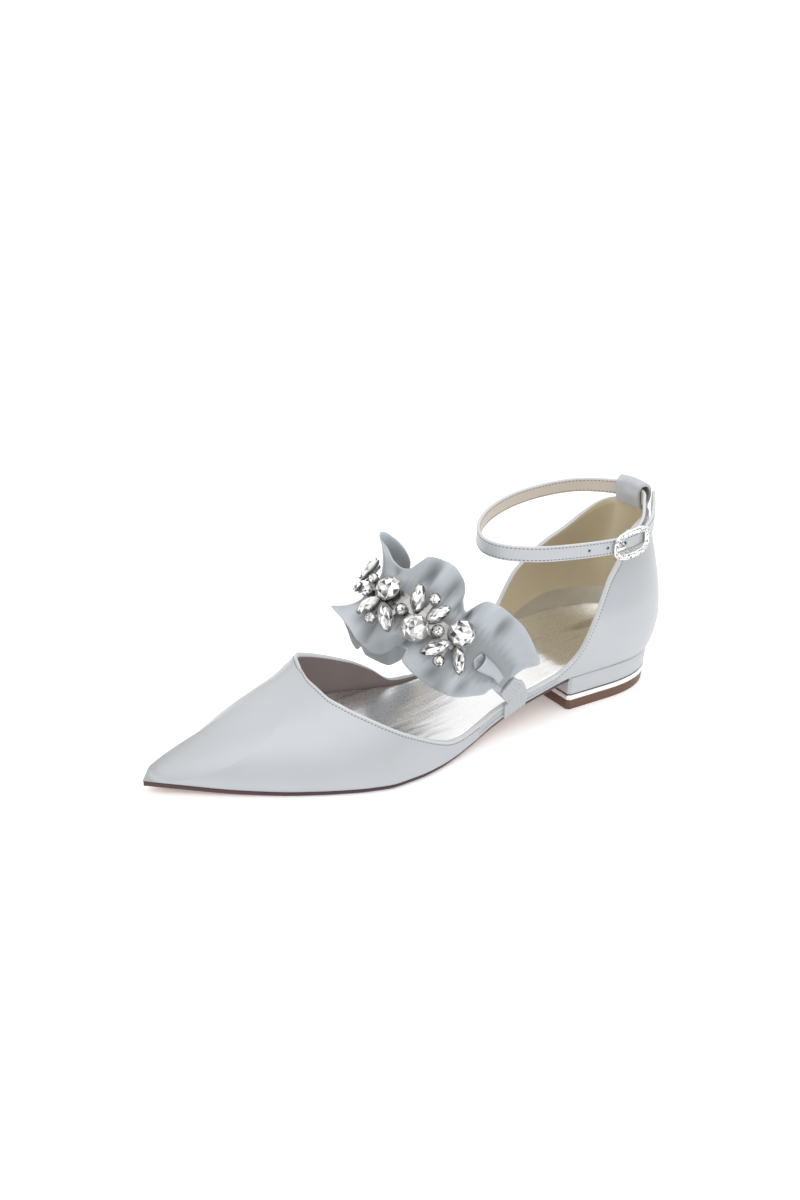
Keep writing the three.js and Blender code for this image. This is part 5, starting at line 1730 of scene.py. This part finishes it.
    def rim_spot(self, turn: float) -> tuple[float, float, float, float]:
        """Return a place on the rim's middle and the way out of the rim there.

        Args:
            turn: the turn round it, in radians.

        Returns:
            The place's two measures and the way's two parts.
        """
        long, high = (self.buckle_length - self.rim_width) / 2, (self.buckle_height - self.rim_width) / 2
        ahead, across = (math.copysign(abs(v) ** (2 / 3), v) for v in (math.cos(turn), math.sin(turn)))
        way = Vector((math.cos(turn) / long, math.sin(turn) / high)).normalized()
        return ahead * long, across * high, way.x, way.y

    def rim(self) -> bpy.types.Object:
        """Build the buckle's rim with its two rows of small stones.

        Returns:
            The piece.
        """
        steps, sides = 96, 12

        def place(r: int, c: int) -> Vector:
            """Return the rim's point at a step and a side of its section.

            Args:
                r: the row.
                c: the column.

            Returns:
                The point, in millimetres.
            """
            ahead, across, wx, wy = self.rim_spot(2 * math.pi * r / steps)
            a = 2 * math.pi * c / sides
            shift, out = math.cos(a) * self.rim_width / 2, math.sin(a) * self.rim_thickness / 2
            return self.place_buckle(ahead + wx * shift, across + wy * shift, self.rim_out + out)

        fin = self.finishes
        piece = Piece("buckle_rim", "silver", [fin.silver, fin.crystal], random.Random(5))
        piece.grid(steps, sides, place, wrap_rows=True, wrap_columns=True)
        for row in (-self.rim_row, self.rim_row):
            for k in range(self.rim_stones):
                turn = 2 * math.pi * (k + (0.25 if row > 0 else 0.75)) / self.rim_stones
                ahead, across, wx, wy = self.rim_spot(turn)
                spot = self.route.frame(self.buckle_at - ahead - wx * row)
                point = spot.beside(across + wy * row, self.rim_out + self.rim_thickness / 2 - 0.1)
                piece.pearl(self.rim_stone, axes_frame(point, spot.run, spot.out), finish=1)
        return piece.done("buckle_frame")

    def tube(self, name: str, points: list[Vector], radius: float, sideways: Vector, steps: int) -> Piece:
        """Start a round pin along points.

        Args:
            name: its name.
            points: its middle line.
            radius: its radius.
            sideways: a way across it.
            steps: its steps along.

        Returns:
            The pin, not yet finished.
        """
        curve = Route(points, sideways)
        piece = Piece(name, "silver", [self.finishes.silver])
        sides = 12

        def place(r: int, c: int) -> Vector:
            """Return the pin's point.

            Args:
                r: the row.
                c: the column.

            Returns:
                The point, in millimetres.
            """
            spot = curve.frame(curve.length * r / steps)
            a = 2 * math.pi * c / sides
            return spot.beside(math.cos(a) * radius, math.sin(a) * radius)

        piece.grid(steps, sides, place, wrap_columns=True, caps=True)
        return piece

    def bar(self) -> bpy.types.Object:
        """Build the bar behind the strap that joins both sides of the rim.

        Returns:
            The piece.
        """
        high = (self.buckle_height - self.rim_width) / 2
        reach, drop = high - self.rim_width / 4, self.rim_width / 4
        half = [(reach, self.rim_out), (reach, self.bar_out + drop), (reach - drop, self.bar_out)]
        spots = half + [(-across, out) for across, out in half[::-1]]
        points = [self.place_buckle(0, across, out) for across, out in spots]
        run = self.route.frame(self.buckle_at).run
        return self.tube("buckle_bar", points, self.bar_radius, run, 40).done()

    def prong(self) -> bpy.types.Object:
        """Build the prong from the bar through the strap and over the rim.

        Returns:
            The piece.
        """
        top = self.rim_out + self.rim_thickness / 2 + GAP + self.prong_radius
        spots = (
            (self.bar_radius + GAP + self.prong_radius, self.bar_out + self.bar_radius / 2),
            (self.prong_ahead - self.prong_radius, self.bar_out + self.bar_radius),
            (self.prong_ahead + self.prong_radius / 2, STRAP_THICKNESS / 2 + self.prong_radius),
            (self.buckle_length / 2 - self.rim_width, top),
            (self.buckle_length / 2, top),
        )
        points = [self.place_buckle(ahead, 0, out) for ahead, out in spots]
        across = self.route.frame(self.buckle_at - self.prong_ahead).across
        return self.tube("buckle_tongue", points, self.prong_radius, across, 24).done("buckle_prong")


@dataclass(frozen=True)
class Crease:
    """A soft trough or ridge across one side of the frill."""

    side: int
    at: float
    width: float
    depth: float
    start: float = 0.1
    end: float = 1.2
    skew: float = 0.0

    def height(self, share: float, across: float) -> float:
        """Return how far it lifts the cloth at a share of the strap and of the frill's reach.

        Args:
            share: the share.
            across: the share of the frill's reach.

        Returns:
            The value.
        """
        centre = self.at + self.skew * (across - 0.5)
        middle = (self.start + self.end) / 2
        rise = ease(self.start, mix(self.start, middle, 0.8), across) * (1 - ease(middle, self.end, across))
        return self.depth * hump(centre, self.width, share) * rise


CREASES = (
    Crease(-1, 0.36, 0.018, -2.2), Crease(-1, 0.40, 0.016, 1.3), Crease(-1, 0.44, 0.018, -2.4),
    Crease(-1, 0.545, 0.014, -1.6), Crease(-1, 0.62, 0.02, -2.2), Crease(-1, 0.67, 0.018, 1.4),
    Crease(-1, 0.14, 0.02, -2.2), Crease(-1, 0.20, 0.018, 1.2), Crease(-1, 0.255, 0.014, -2.0),
    Crease(-1, 0.30, 0.014, -1.6), Crease(-1, 0.86, 0.022, -1.6), Crease(-1, 0.92, 0.018, 1.2),
    Crease(1, 0.14, 0.02, -1.6), Crease(1, 0.19, 0.018, 1.2), Crease(1, 0.245, 0.02, -2.2),
    Crease(1, 0.30, 0.018, 1.1), Crease(1, 0.37, 0.016, -2.2), Crease(1, 0.43, 0.02, 1.4),
    Crease(1, 0.50, 0.016, -1.6), Crease(1, 0.58, 0.018, 1.2), Crease(1, 0.66, 0.022, -2.4),
    Crease(1, 0.75, 0.02, 1.3), Crease(1, 0.81, 0.016, -1.6), Crease(1, 0.88, 0.02, 1.1),
)


@dataclass
class InstepStrap:
    """The instep strap with its tabs, its ruffle and its stones."""

    last: Last
    finishes: Finishes
    tab_width: float = 12.0
    tab_thickness: float = 1.3
    rib_depth: float = 0.5
    tab_top: float = 0.87
    reach: float = 24.0
    thickness: float = 0.9
    flat: float = 5.8
    curve: float = 1.7
    gather_depth: float = 0.45
    gathers: int = 44
    base_thickness: float = 0.8
    spine_height: float = 1.9
    stone_depth: float = 3.8
    leaf_power: float = 1.3
    small_share: float = 0.7
    trough_depth: float = 2.4
    # Painted shade darkens the frill's troughs and its root by the strap; painted highlight lightens its
    # crowns and free edge.
    trough_painted_shade: float = 0.5
    crown_height: float = 1.4
    crown_painted_highlight: float = 0.14
    root_painted_shade: float = 0.32
    edge_painted_highlight: float = 0.1
    roll_at: float = 0.205
    roll_length: float = 14.0
    roll_wall: float = 0.5
    claw: tuple[float, float, float] = (0.42, 0.42, 0.55)
    small_claw: tuple[float, float, float] = (0.3, 0.3, 0.4)

    def __post_init__(self) -> None:
        """Lay the strap's route and the levels over it."""
        self.route = instep_route(self.last)
        self.ruffle_out = INSTEP_THICKNESS / 2 + GAP
        self.base_out = self.ruffle_out + self.thickness + GAP
        self.setting_out = self.base_out + self.base_thickness + self.spine_height
        self.margin = self.tab_width * self.tab_top + 3 * GAP

    def build(self) -> list[bpy.types.Object]:
        """Build the strap, both tabs, the ruffle and the stones.

        Returns:
            The pieces.
        """
        made = [self.strap(), self.ruffle(), self.roll()]
        made += [self.tab(side, name) for side, name in ((1, "outer"), (-1, "inner"))]
        made += [self.stone(number, place) for number, place in enumerate(STONES, 1)]
        return made + [self.cups()]

    def strap(self) -> bpy.types.Object:
        """Build the strap under the ruffle.

        Returns:
            The piece.
        """
        piece = Piece("instep_band", "satin", [self.finishes.satin, self.finishes.strap_lining])
        w, t = INSTEP_WIDTH / 2, INSTEP_THICKNESS / 2
        section = [(-w + 0.5, -t), (0, -t), (w - 0.5, -t), (w, -t / 2), (w, t / 2), (w - 0.5, t), (0, t),
                   (-w + 0.5, t), (-w, t / 2), (-w, -t / 2)]
        piece.grid(120, len(section),
                   lambda r, c: self.route.frame(self.route.length * r / 120).beside(*section[c]),
                   lambda r, c: 1 if c < 2 else 0, wrap_columns=True, caps=True)
        return piece.done("instep_strap")

    def tab(self, side: int, name: str) -> bpy.types.Object:
        """Build one ribbed tab over the waist strip and up the strap.

        Args:
            side: 1 outer, -1 inner.
            name: its name.

        Returns:
            The piece.
        """
        foot = ((0.07, 1.0), (0.55, 1.0), (1.03, 0.97))
        above = ((0.2, 0.94), (0.45, 0.87), (0.68, 0.79), (0.87, 0.7))
        at = INSTEP_AT[name]
        fine, columns, ribs = 5, 56, 7

        def row_point(row: int, offset: float, out: float) -> Vector:
            """Return a point of one of the tab's rows.

            Args:
                row: the row.
                offset: the place across.
                out: the distance outwards.

            Returns:
                The point, in millimetres.
            """
            if row < len(foot):
                height, width = foot[row]
                station = self.last.waist_station(at + offset * width * self.tab_width / SHOE_LENGTH, side)
                return self.last.side_point(station, height * WAIST_STRIP_HEIGHT, -out)
            up, width = above[row - len(foot)]
            climb = up * self.tab_width
            spot = self.route.frame(climb if side > 0 else self.route.length - climb)
            return spot.beside(offset * width * self.tab_width, INSTEP_THICKNESS / 2 + out)

        def offset_of(c: int) -> float:
            """Return the place across the tab of a column."""
            return (c if c <= columns else 2 * columns + 1 - c) / columns - 0.5

        lines = []
        for c in range(2 * columns + 2):
            rib = (0.5 - 0.5 * math.cos(2 * math.pi * (offset_of(c) + 0.5) * ribs)) * self.rib_depth
            out = GAP + self.tab_thickness + rib if c <= columns else GAP
            curve = Route([row_point(row, offset_of(c), out) for row in range(7)], Vector((1, 0, 0)))
            lines.append([curve.at(r / (6 * fine)) for r in range(6 * fine + 1)])
        piece = Piece(f"instep_tab_{name}", "satin", [self.finishes.satin])
        piece.grid(6 * fine, 2 * columns + 2, lambda r, c: lines[c][r], wrap_columns=True, caps=True)
        return piece.done(f"strap_tab_{name}", modifiers=[("EDGE_SPLIT", {"split_angle": math.radians(60)})])

    def ruffle(self) -> bpy.types.Object:
        """Build the gathered frill as a sheet along the strap whose free edges run in folds.

        Returns:
            The piece.
        """
        tables = {-1: RUFFLE_REAR, 1: RUFFLE_FRONT}
        edges = {side: [t.curve(name) for name in ("reach", "lift", "lean")] for side, t in tables.items()}
        rows, columns, start = 400, 24, 0.25
        frames = [self.route.frame(mix(self.margin, self.route.length - self.margin, r / rows))
                  for r in range(rows + 1)]
        drawn = random.Random(11)
        phases = [drawn.uniform(-0.35, 0.35) for _ in range(self.gathers + 2)]

        def place(r: int, c: int) -> Vector:
            """Return the frill's point at a share of the strap and a place across it.

            Args:
                r: the row.
                c: the column.

            Returns:
                The point, in millimetres.
            """
            share, across = r / rows, 2 * c / columns - 1
            side = -1 if across < 0 else 1
            reach, lift, lean = (curve(share) for curve in edges[side])
            reach *= self.reach
            free = max((abs(across) - start) / (1 - start), 0.0)
            flat = min(self.flat, reach / 2)
            width = flat * abs(across) / start if abs(across) < start else mix(flat, reach, free)
            rise = free**self.curve * lift * self.reach
            shift = free**self.curve * lean * self.reach
            rise += sum(crease.height(share, free) for crease in CREASES if crease.side == side)
            beat = share * self.gathers
            phase = mix(phases[int(beat)], phases[int(beat) + 1], beat % 1)
            wave = self.gather_depth * math.sin(2 * math.pi * (beat + phase))
            rise += wave * ease(0, 0.2, free) * math.exp(-3 * free)
            return frames[r].beside(side * width, self.ruffle_out + self.thickness / 2 + rise, shift)

        piece = Piece("ruffle_frill", "satin", [self.finishes.ruffle])
        # The fold layer holds painted shade and painted highlight for the frill, set point by point below.
        fold = piece.mesh.verts.layers.float.new("fold")
        verts = piece.grid(rows, columns, place)
        for (r, c), v in verts.items():
            v[fold] = self.painted_fold_shading(r / rows, 2 * c / columns - 1, start)
        frill = piece.done("ruffle", modifiers=[
            ("SOLIDIFY", {"thickness": self.thickness * MM, "offset": 0.0, "use_even_offset": False}),
            ("SUBSURF", {"levels": 1, "render_levels": 1}),
        ])
        return frill

    def painted_fold_shading(self, share: float, across: float, start: float) -> float:
        """Return the painted light and shade on the frill's cloth at a place: painted shade down its troughs
        and by the strap, painted highlight on its crowns and free edge.

        Args:
            share: the place along the strap.
            across: the place across it, from the rear edge at -1 to the front one at 1.
            start: how far across the frill lies flat.

        Returns:
            The painted shade and highlight factor, 1 where nothing darkens it.
        """
        side = -1 if across < 0 else 1
        free = max((abs(across) - start) / (1 - start), 0.0)
        depth = sum(crease.height(share, free) for crease in CREASES if crease.side == side)
        trough = min(max(-depth / self.trough_depth, 0.0), 1.0)
        crown = min(max(depth / self.crown_height, 0.0), 1.0)
        root = 1 - ease(0.0, 0.45, free)
        # Painted shade down the troughs and by the strap, painted highlight on the crowns and toward the free
        # edge.
        shade = (1 - self.trough_painted_shade * trough) * (1 + self.crown_painted_highlight * crown)
        return shade * (1 - self.root_painted_shade * root) * (1 + self.edge_painted_highlight * ease(0.8, 1, free))

    def roll(self) -> bpy.types.Object:
        """Build the rolled end of the frill's cloth beside the last stones.

        Returns:
            The piece.
        """
        steps, sides = 30, 28

        def place(r: int, c: int) -> Vector:
            """Return the roll's point: its outside, then its inside.

            Args:
                r: the row.
                c: the column.

            Returns:
                The point, in millimetres.
            """
            outer = r <= steps
            t = (r if outer else 2 * steps + 1 - r) / steps
            spot = self.route.frame(self.roll_at * self.route.length - t * self.roll_length)
            a = 2 * math.pi * c / sides
            wide, high = mix(3.6, 1.5, t**0.8), mix(1.9, 0.6, t**0.7)
            wide, high = (wide, high) if outer else (wide - self.roll_wall, high - self.roll_wall)
            flop = 0.8 * math.sin(a) * math.cos(a) + 0.35 * math.sin(3 * a + 5 * t)
            lip = 1.4 * (1 - ease(0, 0.3, t)) * math.sin(a)
            out = self.base_out + 1.2 + math.sin(a) * high
            return spot.beside(1.0 + math.cos(a) * wide + flop, out, -lip)

        piece = Piece("ruffle_end_roll", "satin", [self.finishes.roll, self.finishes.rim])
        piece.grid(2 * steps + 1, sides, place, lambda r, c: 1 if r in (0, 2 * steps) else 0,
                   wrap_columns=True)
        return piece.done()

    def outline(self, place: StonePlace, scale: float, sides: int,
                turned: float) -> list[tuple[float, float]]:
        """Return a stone's outline as places along and across the strap.

        Args:
            place: its place.
            scale: the size against the girdle.
            sides: its number of sides.
            turned: a turn, in sides.

        Returns:
            Places across and out.
        """
        leaf = place.cut is Cut.LEAF
        turn = math.radians(place.turn)
        spots = []
        for k in range(sides):
            angle = 2 * math.pi * (k + turned) / sides
            swell = math.copysign(abs(math.sin(angle)) ** (self.leaf_power if leaf else 1), math.sin(angle))
            x, y = math.cos(angle) * place.length * scale / 2, swell * place.width * scale / 2
            spots.append((x * math.cos(turn) - y * math.sin(turn), x * math.sin(turn) + y * math.cos(turn)))
        return spots

    def rings(self, piece: Piece, place: StonePlace, sides: int, layers: Sequence[tuple[float, float, float]],
              smooth: bool, finish: int = 0) -> None:
        """Add a form over a stone's place.

        Args:
            piece: the piece that takes it.
            place: the stone's place.
            sides: points on each ring.
            layers: each ring's outline scale, distance out of the strap and turn in sides.
            smooth: the faces are shaded as one surface.
            finish: the index of its finish.
        """
        frame_ = self.route.frame(place.at * self.route.length)
        outlines = [self.outline(place, scale, sides, turned) for scale, _, turned in layers]

        def point(r: int, c: int) -> Vector:
            """Return the form's point."""
            along, across = outlines[r][c]
            return frame_.beside(place.ahead * INSTEP_WIDTH + across, layers[r][1], along)

        piece.grid(len(layers) - 1, sides, point, lambda r, c: finish, wrap_columns=True, smooth=smooth)

    def seat(self, place: StonePlace) -> tuple[float, float]:
        """Return how far out of the strap a stone's foot lies, and the stone's depth."""
        depth = self.stone_depth * (self.small_share if place.cut is Cut.SMALL else 1)
        return self.setting_out + place.up * self.stone_depth + GAP, depth

    def stone(self, number: int, place: StonePlace) -> bpy.types.Object:
        """Build a cut stone with its table, crown, girdle and foot.

        Args:
            number: its number.
            place: its place.

        Returns:
            The piece.
        """
        small = place.cut is Cut.SMALL
        foot, depth = self.seat(place)
        table = (0.0, 0.90, 0) if not small else (0.0, 0.97, 0)
        cuts = ((0.0, 0.0, 0), (0.66, 0, 0), (1, 0.34, 0), (1, 0.46, 0),
                (0.74, 0.82, 0.5), (0.5, 1, 0), table)
        piece = Piece(f"crystal_{place.cut.value}_{number}", "stone", [self.finishes.crystal],
                      random.Random(number))
        layers = [(max(scale, 0.001), foot + level * depth, turned) for scale, level, turned in cuts]
        self.rings(piece, place, 7 if small else 9, layers, smooth=False)
        bmesh.ops.remove_doubles(piece.mesh, verts=piece.mesh.verts, dist=0.02 * MM)
        bmesh.ops.triangulate(piece.mesh, faces=piece.mesh.faces)
        return piece.done(f"stone_{place.cut.value}_{number}")

    def cups(self) -> bpy.types.Object:
        """Build the dark cups and claws that hold the stones.

        Returns:
            The piece.
        """
        piece = Piece("stone_cups", "claw", [self.finishes.claw])
        for place in STONES:
            small, leaf = place.cut is Cut.SMALL, place.cut is Cut.LEAF
            foot, depth = self.seat(place)
            rim = 1 + 0.55 / place.width
            cup = ((0.6, -0.2, 0), (0.86, 0.05, 0), (rim, 0.3 * depth, 0), (rim, 0.38 * depth, 0),
                   (rim - 0.07, 0.4 * depth, 0), (rim - 0.09, 0.3 * depth, 0))
            layers = [(scale, foot + out, turned) for scale, out, turned in cup]
            self.rings(piece, place, 24, layers, smooth=True)
            frame_ = self.route.frame(place.at * self.route.length)
            claws = self.outline(place, 0.98, 2 if leaf else 4, 0 if leaf else 0.5)
            for along, across in claws:
                point = frame_.beside(place.ahead * INSTEP_WIDTH + across, foot + 0.62 * depth, along)
                size = self.small_claw if small else self.claw
                piece.pearl(size, axes_frame(point, frame_.run, frame_.out), segments=8, rings=6)
        return piece.done()


@dataclass
class Studio:
    """The pale floor, the soft lights and the camera at the photograph's angle."""

    azimuth: float = 36.46
    elevation: float = 26.79
    roll: float = 1.64
    distance: float = 900.0
    focal_px: float = 2154.6
    frame_px: float = 1200.0
    aim: Vector = field(default_factory=lambda: Vector((88.806, 0, 35.0)))
    aim_px: Vector = field(default_factory=lambda: Vector((22.2, 51.6)))
    sky: tuple[tuple[float, float], ...] = ((0.0, 0.30), (0.12, 0.34), (0.34, 0.95), (0.6, 1.12), (1.0, 1.0))

    def camera(self) -> None:
        """Place the camera so that the shoe stands where the photograph has it."""
        a, e, roll = (math.radians(v) for v in (self.azimuth, self.elevation, self.roll))
        level = Vector((-math.sin(a), -math.cos(a), 0))
        right = Vector((-math.cos(a), math.sin(a), 0))
        ahead = level * math.cos(e) - Vector((0, 0, math.sin(e)))
        up = right.cross(ahead)
        turned_right = right * math.cos(roll) + up * math.sin(roll)
        turned_up = up * math.cos(roll) - right * math.sin(roll)
        data = bpy.data.cameras.new("camera")
        data.sensor_width = 36.0
        data.lens = self.focal_px / self.frame_px * data.sensor_width
        data.shift_x = -self.aim_px.x / self.frame_px
        data.shift_y = self.aim_px.y / self.frame_px
        data.clip_end = 20.0
        camera = bpy.data.objects.new("camera", data)
        turned = Matrix((turned_right, turned_up, -ahead)).transposed().to_4x4()
        camera.matrix_world = Matrix.Translation((self.aim - ahead * self.distance) * MM) @ turned
        bpy.context.scene.collection.objects.link(camera)
        bpy.context.scene.camera = camera

    def floor(self) -> None:
        """Lay the pale floor."""
        bm = bmesh.new()
        bmesh.ops.create_grid(bm, x_segments=1, y_segments=1, size=8.0)
        data = bpy.data.meshes.new("floor")
        bm.to_mesh(data)
        bm.free()
        floor = bpy.data.objects.new("floor", data)
        bpy.context.scene.collection.objects.link(floor)
        shader = Shader("floor", Base_Color=(0.96, 0.96, 0.96, 1.0), Roughness=0.7)
        shader.bsdf.inputs["Specular IOR Level"].default_value = 0.1
        shader.bsdf.inputs["Emission Color"].default_value = (1.0, 1.0, 1.0, 1.0)
        shader.bsdf.inputs["Emission Strength"].default_value = 0.22
        data.materials.append(shader.material)

    def light(self, name: str, place: Vector, size: float, power: float, aim: Vector) -> None:
        """Hang one soft square light.

        Args:
            name: its name.
            place: its place.
            size: its size.
            power: its power.
            aim: the point it faces.
        """
        data = bpy.data.lights.new(name, "AREA")
        data.shape = "DISK"
        data.size, data.energy = size, power
        lamp = bpy.data.objects.new(name, data)
        turn = (aim - place).to_track_quat("-Z", "Y").to_matrix().to_4x4()
        lamp.matrix_world = Matrix.Translation(place) @ turn
        bpy.context.scene.collection.objects.link(lamp)

    def world(self) -> None:
        """Surround the shoe with a soft sky, bright overhead and dim along the horizon."""
        world = bpy.data.worlds.new("studio")
        world.use_nodes = True
        tree = world.node_tree
        background = next(n for n in tree.nodes if n.type == "BACKGROUND")
        way = add_node(tree, "ShaderNodeTexCoord")
        parts = add_node(tree, "ShaderNodeSeparateXYZ", Vector=way.outputs["Generated"])
        ramp = add_node(tree, "ShaderNodeValToRGB", Fac=parts.outputs["Z"])
        stops = ramp.color_ramp.elements
        while len(stops) < len(self.sky):
            stops.new(0.5)
        for stop, (at, shade) in zip(stops, self.sky):
            stop.position, stop.color = at, (shade, shade, shade, 1.0)
        tree.links.new(ramp.outputs["Color"], background.inputs["Color"])
        bpy.context.scene.world = world

    def build(self) -> None:
        """Make the whole stage."""
        self.camera()
        self.floor()
        aim = Vector((0.09, 0, 0.03))
        self.light("key", Vector((0.45, 0.55, 1.7)), 2.0, 8.0, aim)
        self.light("back", Vector((-0.9, -0.2, 1.0)), 1.0, 2.0, aim)
        self.world()
        bpy.context.scene.view_settings.view_transform = "Standard"


def main() -> None:
    """Build the stage and every sub-assembly, and report each."""
    logging.basicConfig(level=logging.INFO, format="%(name)s: %(message)s")
    Studio().build()
    last, finishes = Last(), Finishes()
    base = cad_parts["jewel_base"]
    base.data.materials.clear()
    base.data.materials.append(finishes.claw)
    for part in (Upper, Sole, Insole, AnkleStrap, InstepStrap):
        made = part(last, finishes).build()
        LOG.info("%s: %d pieces", part.__name__, len(made))


if __name__ == "__main__":
    main()
